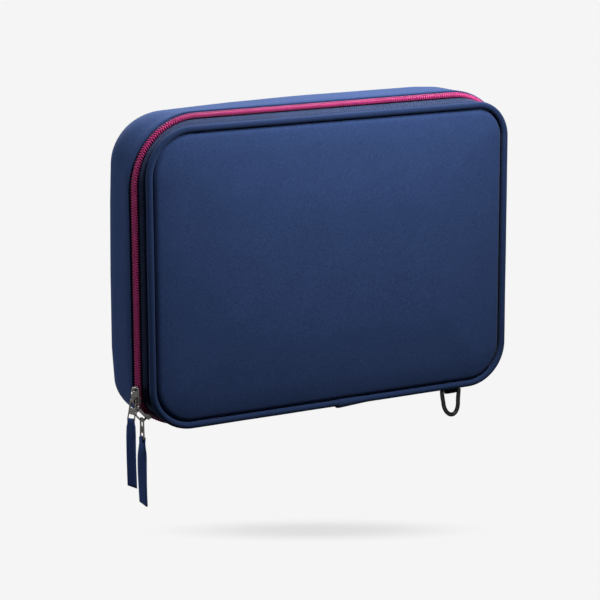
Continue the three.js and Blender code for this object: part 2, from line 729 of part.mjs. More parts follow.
function tray() {
  const group = new THREE.Group();
  group.add(part('rear_shell', rearShell(), MATERIALS.shell));
  group.add(part('rear_lining', rearLining(), MATERIALS.lining));
  group.add(part('rear_edge_binding', rearBinding(), MATERIALS.trim));
  group.add(part('back_board', backBoard(), MATERIALS.board));
  group.add(part('racket_strap', racketStrap(), MATERIALS.elastic));
  group.add(part('rear_zipper_tape', rearTape(), MATERIALS.tape));
  group.add(part('rear_zipper_coil', coilHalf(1), MATERIALS.coil));
  group.add(part('zipper_stop_left', zipperStop(-1), MATERIALS.gunmetal));
  group.add(part('zipper_stop_right', zipperStop(1), MATERIALS.gunmetal));
  group.add(part('hinge_fabric', hingeFabric(), MATERIALS.trim));
  group.add(part('ring_loop', ringLoop(), MATERIALS.webbing));
  group.add(part('d_ring', dRing(), MATERIALS.blackMetal));
  return group;
}

function lid() {
  const group = new THREE.Group();
  group.add(part('front_panel', frontPanel(), MATERIALS.shell));
  group.add(part('front_piping', frontPiping(), MATERIALS.trim));
  group.add(part('lid_board', lidBoard(), MATERIALS.board));
  group.add(part('lid_lining', lidLining(), MATERIALS.lining));
  group.add(part('mesh_pocket', meshPocket(), MATERIALS.mesh));
  group.add(part('pocket_hem', pocketHem(), MATERIALS.elastic));
  group.add(part('front_zipper_tape', frontTape(), MATERIALS.tape));
  group.add(part('front_zipper_coil', coilHalf(-1), MATERIALS.coil));
  return group;
}

const places = sliderPlacements();
const paddleCase = new THREE.Group();
paddleCase.add(tray(), lid(), sliderGroup('a', places.a), sliderGroup('b', places.b));

export default paddleCase;
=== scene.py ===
"""The looks of a soft zip-up paddle case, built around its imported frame. Metres.

+X is right seen from the front, +Y points to the back and +Z is up. "Back" is a depth behind the
groove round the front panel, and "out" a distance outside that groove's outline.
"""
import json
import math

import bmesh
import bpy
import numpy as np
from mathutils import Matrix, Vector, noise


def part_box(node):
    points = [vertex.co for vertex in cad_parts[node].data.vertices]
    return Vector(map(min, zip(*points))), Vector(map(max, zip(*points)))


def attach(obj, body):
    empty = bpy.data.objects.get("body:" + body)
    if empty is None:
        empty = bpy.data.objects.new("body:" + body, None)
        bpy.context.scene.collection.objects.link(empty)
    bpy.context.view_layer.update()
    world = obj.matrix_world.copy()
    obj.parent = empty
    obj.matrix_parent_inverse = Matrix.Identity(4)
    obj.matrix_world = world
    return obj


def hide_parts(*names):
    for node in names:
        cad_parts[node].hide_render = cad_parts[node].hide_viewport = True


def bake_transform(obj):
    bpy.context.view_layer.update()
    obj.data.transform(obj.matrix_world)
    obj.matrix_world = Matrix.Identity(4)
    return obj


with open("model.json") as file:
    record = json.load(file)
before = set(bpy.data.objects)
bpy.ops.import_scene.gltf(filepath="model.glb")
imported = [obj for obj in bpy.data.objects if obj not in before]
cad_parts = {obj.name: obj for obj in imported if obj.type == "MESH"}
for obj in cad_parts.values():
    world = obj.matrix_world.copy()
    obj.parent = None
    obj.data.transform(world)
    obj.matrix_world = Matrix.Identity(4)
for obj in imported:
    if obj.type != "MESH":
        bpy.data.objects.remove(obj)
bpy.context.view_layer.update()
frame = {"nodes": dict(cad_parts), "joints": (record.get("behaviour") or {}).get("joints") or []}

# ---------------- driving dimensions

MM = 0.001
GAP = 0.3 * MM  # between pieces sewn or glued together
GROOVE_GAP = 0.6 * MM
PIPING_DEPTH = 0.6 * MM
# The upper corners' radii at three levels: the groove, the zipper and the tray's back
TOP_LEFT_RADII = (29 * MM, 36 * MM, 23 * MM)
TOP_RIGHT_RADII = (21 * MM, 36 * MM, 39 * MM)
BOTTOM_RADIUS = 26 * MM  # at every level
ZIPPER_TUCK = 1.3 * MM  # by which the zipper is drawn in on the right
PANEL_DOME = 2.8 * MM
DOME_FULLNESS = 0.62  # an exponent: below 1 it rises steeply from its edge
PILLOW = 3 * MM  # by which the middle of the front stands out more, over a wider reach
PILLOW_REACH = 62 * MM
PANEL_TUCK = 1.6 * MM  # by which the panel's edge is drawn down into the groove
TUCK_REACH = 3 * MM
BAND_SLANT = math.radians(44.5)
BAND_TURN = math.radians(34)
TAPE_SHOWING = 5.3 * MM
TAPE_THICKNESS = 1 * MM
COIL_WIDTH = 5.4 * MM  # with its rows of stitches
TEETH_WIDTH = 4.5 * MM
COIL_HEIGHT = 2.3 * MM
COIL_SINK = 0.7 * MM
COIL_PITCH = 1.75 * MM  # from one tooth to the next on the same tape
BAND_LENGTH = 11.5 * MM
SHELL_WALL = 4 * MM
SHELL_BULGE = 0.6 * MM
SHELL_BOTTOM_DROP = 4 * MM
# How far the tray's padding swells out, all in mm: on top by x, on the left and the right by z
SWELL_ON_TOP = [(-127, -1.6), (-60, 0.8), (0, 1.6), (45, 1.8), (85, 1.8), (112, 0)]
SWELL_ON_LEFT = [(-95, 0), (-50, 2.8), (0, 2.8), (50, 1.8), (95, 0)]
SWELL_ON_RIGHT = [(-80, 0), (0, 0.9), (80, 0)]
BACK_ROUND = 24 * MM
BACK_INSET = 20 * MM
LINING = 1 * MM
LINING_FRONT = 18.5 * MM  # depth of its front edge, and below that along the bottom
LINING_FRONT_BOTTOM = 20 * MM
SHELL_FRONT_BOTTOM = 17 * MM  # depth of the front of the shell's side along the bottom
PIPING_JOIN = (2 * MM, 28 * MM)  # x of the cut end and of the end of its taper
PIPING_LAP = 0.9 * MM
BOARD = 1.5 * MM

# Places taken from the frame
panel_low, panel_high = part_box("front_panel")
piping_low, piping_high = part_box("front_piping")
SIDE = panel_high.x + GROOVE_GAP
TOP = panel_high.z + GROOVE_GAP
BOTTOM = panel_low.z - GROOVE_GAP
PIPING_RADIUS = (piping_high.y - piping_low.y) / 2
GROOVE_Y = (piping_high.y + piping_low.y) / 2 - PIPING_DEPTH
CASE_DEPTH = -GROOVE_Y
ZIPPER_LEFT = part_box("zipper_stop_left")[0].x - GAP
ZIPPER_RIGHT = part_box("zipper_stop_right")[1].x + GAP

# Derived values
ALONG_OUT = math.cos(BAND_SLANT)
ALONG_BACK = math.sin(BAND_SLANT)
COIL_MIDDLE = TAPE_SHOWING + COIL_WIDTH / 2
PIPING_OUT = GROOVE_GAP - GAP + PIPING_RADIUS
BAND_START_OUT = PIPING_OUT + PIPING_RADIUS / 2
BAND_START_BACK = PIPING_DEPTH + PIPING_RADIUS + GAP
BAND_START_BOTTOM = PIPING_OUT - PIPING_RADIUS / 3
DOME_REACH = min(*TOP_LEFT_RADII, *TOP_RIGHT_RADII, BOTTOM_RADIUS) - 1.7 * MM
MOUTH_BACK = BAND_START_BACK + BAND_LENGTH * ALONG_BACK
SHELL_SIDE = BAND_START_OUT + BAND_LENGTH * ALONG_OUT + SHELL_BULGE
SHELL_STRAIGHT = CASE_DEPTH - BACK_ROUND
LID_LINING_BACK = PIPING_DEPTH + PIPING_RADIUS + GAP + BOARD + GAP
REAR_LINING_BACK = CASE_DEPTH - SHELL_WALL - GAP - BOARD - GAP - LINING



class Graph:
    """A node tree, with short ways to add nodes and join them up."""

    def __init__(self, owner, clear=True):
        owner.use_nodes = True
        self.nodes, self.links = owner.node_tree.nodes, owner.node_tree.links
        if clear:
            self.nodes.clear()

    def feed(self, socket, value):
        """Links another node's output to a socket, or sets the socket's own value."""
        if isinstance(value, bpy.types.NodeSocket):
            self.links.new(value, socket)
        else:
            socket.default_value = value

    def add(self, kind, inputs=None, output=0, **settings):
        """Adds a node and returns one of its outputs."""
        node = self.nodes.new("ShaderNode" + kind)
        for key, value in settings.items():
            setattr(node, key, value)
        for key, value in (inputs or {}).items():
            self.feed(node.inputs[key], value)
        return node.outputs[output] if node.outputs else None

    def math(self, operation, *values):
        return self.add("Math", dict(enumerate(values)), operation=operation)


# ---------------- camera, stage and lights

CAMERA_AZIMUTH = math.radians(-29.18)  # left of straight ahead
CAMERA_ELEVATION = math.radians(12.58)
CAMERA_ROLL = math.radians(-0.22)
CAMERA_DISTANCE = 1.5856
CAMERA_LEFT = 0.0239  # of the point that it looks past
CAMERA_BELOW = 0.0257
CAMERA_LENS = 138.1  # mm, for a sensor this wide
SENSOR_WIDTH = 36
VIEW_END = 50
FLOOR_BELOW = 0.2005  # under the middle of the front panel
BACKGROUND = 0.913
SHADOW_DARK = 0.19  # share of the background's white lost in the middle of the shadow
SHADOW_HALF_WIDTH = 0.122
SHADOW_HALF_DEPTH = 0.027
SHADOW_FADE = (0.15, 1.1)  # start and end of its soft edge, as shares of those half sizes
AMBIENT = 0.02
ROOM_TINT = (0.93, 0.96, 1)


def make_camera():
    data = bpy.data.cameras.new("camera")
    data.lens = CAMERA_LENS
    data.sensor_width = SENSOR_WIDTH
    data.clip_end = VIEW_END
    camera = bpy.data.objects.new("camera", data)
    turn = Matrix.Rotation(CAMERA_AZIMUTH, 4, "Z")
    turn = turn @ Matrix.Rotation(math.pi / 2 - CAMERA_ELEVATION, 4, "X")
    turn = turn @ Matrix.Rotation(CAMERA_ROLL, 4, "Z")
    offset = turn @ Vector((-CAMERA_LEFT, -CAMERA_BELOW, CAMERA_DISTANCE))
    camera.matrix_world = Matrix.Translation(Vector((0, GROOVE_Y, 0)) + offset) @ turn
    bpy.context.scene.collection.objects.link(camera)
    bpy.context.scene.camera = camera


def shown_to_view(graph):
    """1 for the rays that show the background: straight, in a reflection or through glass."""
    path = graph.nodes.new("ShaderNodeLightPath").outputs
    seen = graph.math("MAXIMUM", path["Is Camera Ray"], path["Is Glossy Ray"])
    return graph.math("MAXIMUM", seen, path["Is Transmission Ray"])


def make_world():
    world = bpy.data.worlds.new("studio")
    graph = Graph(world)
    room = graph.add("Background", {"Color": (*ROOM_TINT, 1), "Strength": AMBIENT})
    white = graph.add("Background", {"Color": (BACKGROUND,) * 3 + (1,)})
    mix = graph.add("MixShader", {0: shown_to_view(graph), 1: room, 2: white})
    graph.add("OutputWorld", {"Surface": mix})
    bpy.context.scene.world = world


def shadow_pool(graph):
    """1, and less in a painted shadow: a soft oblong pool right under the case."""
    place = graph.add("TexCoord", output="Object")
    scale = (1 / SHADOW_HALF_WIDTH, 1 / SHADOW_HALF_DEPTH, 1)
    place = graph.add("Mapping", {"Vector": place, "Scale": scale})
    reach = graph.add("VectorMath", {0: place}, "Value", operation="LENGTH")
    fade = {"Value": reach, "From Min": SHADOW_FADE[0], "From Max": SHADOW_FADE[1],
            "To Min": 1 - SHADOW_DARK, "To Max": 1}
    return graph.add("MapRange", fade, "Result", interpolation_type="SMOOTHSTEP")


def make_floor():
    """A clear floor that holds only a painted shadow of the case, so the open lid can hang through
    it.
    """
    middle = (0, panel_low.y / 2, -FLOOR_BELOW)
    bpy.ops.mesh.primitive_plane_add(size=1, location=middle, rotation=(0, 0, CAMERA_AZIMUTH))
    floor = bpy.context.object
    floor.name = "floor"
    material = bpy.data.materials.new("floor")
    graph = Graph(material)
    clear = graph.add("BsdfTransparent", {"Color": shadow_pool(graph)})
    graph.add("OutputMaterial", {"Surface": clear})
    floor.data.materials.append(material)


def area_light(name, place, size, watts):
    data = bpy.data.lights.new(name, "AREA")
    data.shape = "DISK"
    data.size = size
    data.energy = watts
    lamp = bpy.data.objects.new(name, data)
    aim = Vector((0, GROOVE_Y, 0)) - Vector(place)
    turn = aim.to_track_quat("-Z", "Y").to_matrix().to_4x4()
    lamp.matrix_world = Matrix.Translation(place) @ turn
    lamp.visible_camera = False
    bpy.context.scene.collection.objects.link(lamp)


def make_lights():
    area_light("key_in_front", (0.06, -0.3, 0.36), size=0.34, watts=4.7)
    area_light("above", (0.3, 0.32, 0.8), size=0.6, watts=22.5)
    area_light("left", (-1.15, 0.4, 0.3), size=0.6, watts=10.5)


make_camera()
make_world()
make_floor()
make_lights()
bpy.context.scene.view_settings.view_transform = "Standard"

# ---------------- materials


def shade(colour, factor):
    return tuple(min(1.0, c * factor) for c in colour)


class Shader(Graph):
    """A material with one Principled shader, and the patterns that feed it."""

    def __init__(self, name):
        self.material = bpy.data.materials.new(name)
        super().__init__(self.material, clear=False)
        self.surface = self.nodes["Principled BSDF"]
        self.uv = self.add("UVMap")
        self.place = self.add("TexCoord", output="Object")

    def set(self, **values):
        for key, value in values.items():
            self.feed(self.surface.inputs[key.replace("_", " ")], value)

    def uv_axes(self):
        split = self.nodes.new("ShaderNodeSeparateXYZ")
        self.feed(split.inputs[0], self.uv)
        return split.outputs["X"], split.outputs["Y"]

    def ripple(self, length, pitch):
        """A sine along a length in metres, from -1 to 1, once every pitch."""
        return self.math("SINE", self.math("MULTIPLY", length, 2 * math.pi / pitch))

    def noise(self, size, detail=3.0):
        inputs = {"Vector": self.place, "Scale": 1 / size, "Detail": detail}
        return self.add("TexNoise", inputs, "Fac")

    def paint(self, share, colour, dark, light, between=(0.3, 0.7)):
        """The base colour: from dark to light, times a colour, between two values of a share."""
        ramp = self.nodes.new("ShaderNodeValToRGB")
        self.feed(ramp.inputs["Fac"], share)
        for element, position, factor in zip(ramp.color_ramp.elements, between, (dark, light)):
            element.position = position
            element.color = (*shade(colour, factor), 1)
        self.set(Base_Color=ramp.outputs["Color"])

    def bump(self, height, strength, distance):
        inputs = {"Height": height, "Strength": strength, "Distance": distance}
        self.set(Normal=self.add("Bump", inputs))


MOTTLE_SIZE, MOTTLE_SHARE = 18 * MM, 0.15  # a slow noise in a cloth's colour
GRAIN_SIZE, GRAIN_SHARE = 0.9 * MM, 0.7  # a fine one
WEAVE_SHADE_SHARE = 0.15  # of a cloth's colour that follows its woven pattern, darker in its hollows as painted shade
SHEEN_TINT = (0.55, 0.68, 1)


def woven(name, colour, height_of, bump=0.3, depth=0.2 * MM,
          sheen=0.08, roughness=0.85, contrast=0.25):
    """A cloth: its woven pattern sets the bump and darkens the hollows as painted shade, and noise
    varies its colour.
    """
    shader = Shader(name)
    height = height_of(shader)
    # painted shade: the low parts of the woven pattern take the darker colour
    weave_shade = shader.math("MULTIPLY", shader.math("MULTIPLY_ADD", height, 0.5, 0.5), WEAVE_SHADE_SHARE)
    mottle = shader.math("MULTIPLY", shader.noise(MOTTLE_SIZE), MOTTLE_SHARE)
    grain = shader.math("MULTIPLY", shader.noise(GRAIN_SIZE, 1), GRAIN_SHARE)
    share = shader.math("ADD", weave_shade, shader.math("ADD", mottle, grain))
    shader.paint(share, colour, 1 - contrast, 1 + contrast, between=(0.2, 0.8))
    shader.set(Roughness=roughness, Sheen_Weight=sheen, Sheen_Roughness=0.4,
               Specular_IOR_Level=0.03, Sheen_Tint=(*SHEEN_TINT, 1))
    shader.bump(height, bump, depth)
    return shader.material


def knit(pitch):
    """Fine rounded loops in rows."""
    def height(shader):
        across, along = shader.uv_axes()
        rows = shader.ripple(along, pitch * 0.8)
        return shader.math("MULTIPLY", shader.ripple(across, pitch), rows)
    return height


def twill(pitch):
    """Diagonal ribs with short cross threads."""
    def height(shader):
        across, along = shader.uv_axes()
        ribs = shader.ripple(shader.math("ADD", across, along), pitch)
        threads = shader.math("MULTIPLY", shader.ripple(across, pitch * 0.5), 0.3)
        return shader.math("ADD", shader.math("MULTIPLY", ribs, 0.7), threads)
    return height


def ribbed(pitch):
    """Ribs across a strap, each crossed by fine threads."""
    def height(shader):
        across, along = shader.uv_axes()
        ribs = shader.math("ABSOLUTE", shader.ripple(across, 2 * pitch))
        threads = shader.math("MULTIPLY", shader.ripple(along, pitch * 0.7), 0.25)
        return shader.math("ADD", ribs, threads)
    return height


def plated(name, colour, roughness):
    """Plated metal, duller where a fine noise is high, with a faint unevenness."""
    shader = Shader(name)
    wear = shader.noise(1.6 * MM)
    shader.paint(wear, colour, 0.75, 1.2)
    rough = shader.math("MULTIPLY_ADD", wear, 0.2, roughness - 0.1)
    shader.set(Metallic=1.0, Roughness=rough, Specular_Tint=(0.3, 0.3, 0.3, 1))
    shader.bump(shader.noise(2.5 * MM), 0.15, 0.1 * MM)
    return shader.material


def filament(name, colour):
    """Dyed nylon with a soft gloss."""
    shader = Shader(name)
    shader.paint(shader.noise(5 * MM), colour, 0.85, 1.12)
    shader.set(Roughness=0.45, Specular_IOR_Level=0.15)
    shader.bump(shader.noise(0.5 * MM), 0.1, 0.05 * MM)
    return shader.material


NAVY = (0.0183, 0.0345, 0.093)
MAGENTA = (0.34, 0.023, 0.130)
CLOTH = woven("navy_knit", NAVY, knit(0.8 * MM), bump=0.25, depth=0.12 * MM, contrast=0.36)
# The trim is the navy cloth darkened to 0.66: its own navy plus painted shade for the piping's
# sides that face away from the light.
SHADED_TRIM = woven("navy_trim", shade(NAVY, 0.66), knit(0.7 * MM), bump=0.3, depth=0.1 * MM)
TAPE = woven("tape_twill", (0.028, 0.040, 0.085), twill(1.9 * MM),
             bump=0.8, depth=0.3 * MM, contrast=0.5)
LINING_CLOTH = woven("lining", (0.018, 0.022, 0.038), knit(0.9 * MM), bump=0.2, sheen=0.2)
ELASTIC = woven("elastic", (0.012, 0.013, 0.017), ribbed(1.4 * MM), bump=0.7, depth=0.3 * MM)
MESH_CLOTH = woven("pocket_mesh", (0.015, 0.017, 0.026), knit(0.5 * MM))
RIBBON = woven("ribbon_satin", (0.019, 0.036, 0.110), twill(0.8 * MM),
               bump=0.3, depth=0.1 * MM, roughness=0.6)
WEBBING = woven("webbing", (0.010, 0.011, 0.015), ribbed(1.1 * MM), bump=0.7, depth=0.25 * MM)
BOARD_STOCK = woven("board_stock", (0.012, 0.013, 0.016), knit(2 * MM), bump=0.1, sheen=0.0)
COIL = filament("coil_nylon", MAGENTA)
# The coil's core is the coil's magenta darkened to 0.18: painted shade between the teeth.
SHADED_COIL_CORE = filament("coil_core_shaded", shade(MAGENTA, 0.18))
GUNMETAL = plated("gunmetal", (0.11, 0.105, 0.10), 0.24)
BLACK_METAL = plated("black_metal", (0.022, 0.022, 0.023), 0.32)

# ---------------- outlines round the case

CORNER_STEPS = 20
STRAIGHT_STEP = 5 * MM


def smooth(share):
    """Eases a share from 0 to 1, with no slope at either end."""
    return share * share * (3 - 2 * share)


def corner_places():
    """A row for each step round the four corners, from the bottom right over to the bottom left."""
    rows = []
    even = (BOTTOM_RADIUS,) * 3
    corners = [(1, BOTTOM, -90, even), (1, TOP, 0, TOP_RIGHT_RADII),
               (-1, TOP, 90, TOP_LEFT_RADII), (-1, BOTTOM, 180, even)]
    for sideways, edge, first, radii in corners:
        for i in range(CORNER_STEPS + 1):
            angle = math.radians(first + 90 * i / CORNER_STEPS)
            below = 0 if edge > 0 else math.asin(min(1, abs(math.sin(angle))))
            turn = smooth(min(1, below / BAND_TURN))
            rows.append((sideways, edge, *radii, math.cos(angle), math.sin(angle), turn))
    return np.array(rows)


PLACES = corner_places()


def spread():
    """Weights that take the corner places to evenly filled outlines: straights get points too."""
    count = CORNER_STEPS + 1
    weights = np.eye(len(PLACES))
    rows = []
    for k, length in enumerate([TOP - BOTTOM, 2 * SIDE, TOP - BOTTOM, 2 * SIDE]):
        end = (k + 1) * count
        rows += list(weights[k * count:end])
        last, following = weights[end - 1], weights[end % len(PLACES)]
        steps = int(length / STRAIGHT_STEP)
        rows += [last * (1 - i / steps) + following * (i / steps) for i in range(1, steps)]
    return np.array(rows)


SPREAD = spread()
BOTTOM_POINTS = int(2 * SIDE / STRAIGHT_STEP) - 1  # of the outline's last stretch, along the bottom


def ring(out, back, bottom_out=None, bottom_back=None, level=0.0):
    """The outline at one station, as points.

    Its level is 0 at the groove, 1 at the zipper and 2 at the back.
    """
    bottom_out = out if bottom_out is None else bottom_out
    bottom_back = back if bottom_back is None else bottom_back
    sideways, edge, at_groove, at_zipper, at_back, cos, sin, turn = PLACES.T
    radius = at_groove + (at_zipper - at_groove) * min(level, 1)
    radius += (at_back - at_zipper) * max(level - 1, 0)
    rise = np.where(edge > 0, out, bottom_out)
    tuck = np.where(sideways > 0, ZIPPER_TUCK * (1 - abs(level - 1)), 0)
    points = np.stack([
        sideways * (SIDE - radius) - tuck + (radius + out) * cos,
        GROOVE_Y + back * (1 - turn) + bottom_back * turn,
        edge - np.sign(edge) * radius + (radius + rise) * sin,
    ], axis=1)
    return SPREAD @ points


def level_at(back):
    """The level of the tray's skin at a depth: 1 at its mouth, 2 where its edge starts to round."""
    return 1 + smooth(min(1, max(0, (back - MOUTH_BACK) / (SHELL_STRAIGHT - MOUTH_BACK))))


PIPING_LEVEL = 0.1  # of the band's front edge, beside the piping


def band(along, above):
    """A station on the slanted zipper band, by its distance along the band and height above it."""
    return dict(
        out=BAND_START_OUT + along * ALONG_OUT + above * ALONG_BACK,
        back=BAND_START_BACK + along * ALONG_BACK - above * ALONG_OUT,
        bottom_out=BAND_START_BOTTOM + above,
        bottom_back=BAND_START_BACK + along,
        level=min(1, max(PIPING_LEVEL, PIPING_LEVEL + (1 - PIPING_LEVEL) * along / COIL_MIDDLE)),
    )


def open_ring(station):
    """The outline without its bottom stretch, drawn out to the two ends of the zipper."""
    points = ring(**station)[:-BOTTOM_POINTS]
    first, last = points[0].copy(), points[-1].copy()
    first[0], last[0] = ZIPPER_RIGHT, ZIPPER_LEFT
    return np.vstack([first, points, last])


# ---------------- meshes


def add_mesh(name, points, faces, uvs, material):
    mesh = bpy.data.meshes.new(name)
    mesh.from_pydata([tuple(p) for p in points], [], faces)
    layer = mesh.uv_layers.new(name="UVMap")
    layer.data.foreach_set("uv", np.array(uvs, float).ravel())
    mesh.polygons.foreach_set("use_smooth", [True] * len(mesh.polygons))
    mesh.materials.append(material)
    mesh.validate()
    mesh.update()
    piece = bpy.data.objects.new(name, mesh)
    bpy.context.scene.collection.objects.link(piece)
    return piece


def unit(rows):
    return rows / np.linalg.norm(rows, axis=1)[:, None]


def lengths_of(points, closed):
    """Distance along a line of points, with one more value where it closes."""
    line = np.vstack([points, points[:1]]) if closed else points
    steps = np.linalg.norm(np.diff(line, axis=0), axis=1)
    return np.concatenate([[0], np.cumsum(steps)])


def grid_mesh(lines, closed_line, closed_loop, cap=False):
    """Quads between neighbouring lines: points, faces and a uv in metres for each corner."""
    lines = np.array(lines)
    rows, size = lines.shape[:2]
    along = lengths_of(lines[rows // 2], closed_line)
    across = lengths_of(lines[:, size // 2], closed_loop)
    faces, uvs = [], []
    for r in range(rows if closed_loop else rows - 1):
        for i in range(size if closed_line else size - 1):
            a, b = r * size + i, r * size + (i + 1) % size
            c, d = (r + 1) % rows * size + (i + 1) % size, (r + 1) % rows * size + i
            faces.append((a, b, c, d))
            uvs += [(along[i], across[r]), (along[i + 1], across[r]),
                    (along[i + 1], across[r + 1]), (along[i], across[r + 1])]
    if cap:
        count = rows * size
        if closed_loop:
            ends = [range(0, count, size), reversed(range(size - 1, count, size))]
        else:
            ends = [reversed(range(size)), range(count - size, count)]
        for end in map(tuple, ends):
            faces.append(end)
            uvs += [(0.0, 0.0)] * len(end)
    return lines.reshape(-1, 3), faces, uvs


def outward(piece):
    """Turns a closed piece's faces to point out."""
    work = bmesh.new()
    work.from_mesh(piece.data)
    bmesh.ops.recalc_face_normals(work, faces=work.faces)
    work.to_mesh(piece.data)
    work.free()
    return piece


def surface(name, lines, material, closed_line=True, closed_loop=False, cap=False):
    return outward(add_mesh(name, *grid_mesh(lines, closed_line, closed_loop, cap), material))


def closed_skin(name, lines, material, flat=False):
    """A closed piece out of rings, with a face across the first and the last."""
    points, faces, uvs = grid_mesh(lines, True, False)
    if flat:
        uvs = flat_uvs(points, faces)
    size = len(lines[0])
    ends = [tuple(reversed(range(size))), tuple(range(len(points) - size, len(points)))]
    return outward(add_mesh(name, points, faces + ends, uvs + flat_uvs(points, ends), material))


def joined(name, pieces, material):
    """One mesh object out of (points, faces, uvs) triples."""
    points, faces, uvs, start = [], [], [], 0
    for some_points, some_faces, some_uvs in pieces:
        points.append(np.asarray(some_points))
        faces += [tuple(start + i for i in face) for face in some_faces]
        uvs += some_uvs
        start += len(some_points)
    return outward(add_mesh(name, np.vstack(points), faces, uvs, material))


def put(piece, body, slot, *nodes):
    """Rides the piece on a body and hides the plain solids that it stands for."""
    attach(piece, body)
    if nodes:
        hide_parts(*nodes)
    return piece


def uneven(points, size, amount):
    """A slow noise at each point, so that cloth isn't dead flat."""
    return np.array([noise.noise(Vector(p) / size) for p in points]) * amount


def flat_uvs(points, faces):
    """The x and z of each face's corners."""
    return [(points[v][0], points[v][2]) for face in faces for v in face]


def circle_angles(count):
    return np.arange(count) / count * 2 * math.pi


def tube(path, radius, sides=12, closed=False, seam=(0, 1, 0)):
    """A round tube along a path, as lines for grid_mesh. The first line lies square to seam."""
    path = np.array(path)
    ahead = np.roll(path, -1, axis=0) - np.roll(path, 1, axis=0)
    if not closed:
        ahead[0], ahead[-1] = path[1] - path[0], path[-1] - path[-2]
    ahead = unit(ahead)
    first = unit(np.cross(ahead, seam))
    second = np.cross(ahead, first)
    radius = np.broadcast_to(radius, len(path))[:, None]
    return [path + radius * (first * math.cos(a) + second * math.sin(a))
            for a in circle_angles(sides)]


# ---------------- lid

PANEL_RINGS = 16
MIDDLE_RINGS = 14
PILLOW_FULLNESS = 1.7
CLOTH_WAVE = 0.35 * MM  # of the slow unevenness in padded cloth
PANEL_WAVE_SIZE = 70 * MM


def dome(inward):
    """How far the padded front stands out of the groove's plane, a distance in from its edge."""
    rise = PANEL_DOME * math.sin(min(1, inward / DOME_REACH) * math.pi / 2) ** DOME_FULLNESS
    rise += PILLOW * math.sin(min(1, inward / PILLOW_REACH) * math.pi / 2) ** PILLOW_FULLNESS
    return rise - PANEL_TUCK * max(0, 1 - inward / TUCK_REACH) ** 2


def lid_cover():
    """The padded front: it rises steeply out of the groove, levels out and closes to a line."""
    depths = (PIPING_DEPTH + PIPING_RADIUS, PANEL_TUCK + 0.3 * MM)
    lines = [ring(-GROOVE_GAP, depth) for depth in depths]
    for i in range(1, PANEL_RINGS + 1):
        inward = DOME_REACH * (i / PANEL_RINGS) ** 2
        lines.append(ring(-GROOVE_GAP - inward, -dome(inward)))
    edge = lines[-1]
    spine = edge.copy()
    reach = SIDE - (TOP - BOTTOM) / 2
    spine[:, 0] = np.clip(edge[:, 0], -reach, reach)
    spine[:, 2] = 0
    for i in range(1, MIDDLE_RINGS):
        share = i / MIDDLE_RINGS
        inner = edge + (spine - edge) * share
        inward = DOME_REACH + share * ((TOP - BOTTOM) / 2 - DOME_REACH)
        inner[:, 1] = GROOVE_Y - dome(inward)
        lines.append(inner)
    for k, line in enumerate(lines[2:], 2):
        line[:, 1] += uneven(line, PANEL_WAVE_SIZE, CLOTH_WAVE) * min(1, k / PANEL_RINGS)
    piece = closed_skin("lid_cover", lines, CLOTH, flat=True)
    put(piece, "lid", "navy_fabric", "front_panel")


PIPING_BOTTOM_OUT = PIPING_OUT - PIPING_RADIUS / 4
PIPING_SIDES = 16
PIPING_WAVE = 0.05  # share of its radius by which it varies
PIPING_WAVE_SIZE = 30 * MM
JOIN_THICKER = 0.1  # share of its radius by which it thickens towards its cut end


def lid_piping():
    """Cloth-covered piping. Its ends overlap near the middle of the bottom, in a short step."""
    middle = ring(PIPING_OUT, PIPING_DEPTH, bottom_out=PIPING_BOTTOM_OUT)
    wider = ring(PIPING_OUT + MM, PIPING_DEPTH, bottom_out=PIPING_BOTTOM_OUT + MM)
    away = (wider - middle) / MM
    depth = np.array([0, 1, 0])
    along_bottom = (middle[:, 2] < BOTTOM + 2 * MM) & (np.abs(middle[:, 0]) < SIDE - BOTTOM_RADIUS)
    x = middle[:, 0]
    first, last = PIPING_JOIN
    step = np.where(along_bottom, np.clip((last - x) / (last - first), 0, 1) * (x > first), 0)
    thicker = 1 + JOIN_THICKER * step + uneven(middle, PIPING_WAVE_SIZE, PIPING_WAVE)
    reach = (PIPING_RADIUS * np.minimum(thicker, 1 + JOIN_THICKER))[:, None]
    lines = [middle + reach * (away * math.cos(angle) + depth * math.sin(angle))
             for angle in circle_angles(PIPING_SIDES)]
    piece = surface("lid_piping", lines, SHADED_TRIM, closed_line=True, closed_loop=True)
    put(piece, "lid", "navy_trim", "front_piping")


def piping_join():
    """Where the piping's cloth laps over itself at the bottom: a cut end, then a taper."""
    z = ring(PIPING_OUT, PIPING_DEPTH, bottom_out=PIPING_BOTTOM_OUT)[:, 2].min()
    first, last = PIPING_JOIN
    cut = [first, first + 0.3 * MM, first + 0.9 * MM]
    xs = np.concatenate([cut, np.linspace(first + 2 * MM, last, 9)])
    share = np.concatenate([[0.75, 0.95, 1], np.linspace(1, 0, 9)])
    path = [(x, GROOVE_Y + PIPING_DEPTH, z - PIPING_LAP * 0.6 * t) for x, t in zip(xs, share)]
    lines = tube(path, PIPING_RADIUS + PIPING_LAP * share - 0.1 * MM, 20)
    piece = surface("lid_piping_join", lines, SHADED_TRIM, False, True, cap=True)
    put(piece, "lid", "navy_trim")


def band_sheet(name, section, material):
    """A sheet along the zipper, from the corners of its section: along the band and above it."""
    lines = [open_ring(band(*corner)) for corner in section]
    return surface(name, lines, material, False, True, cap=True)


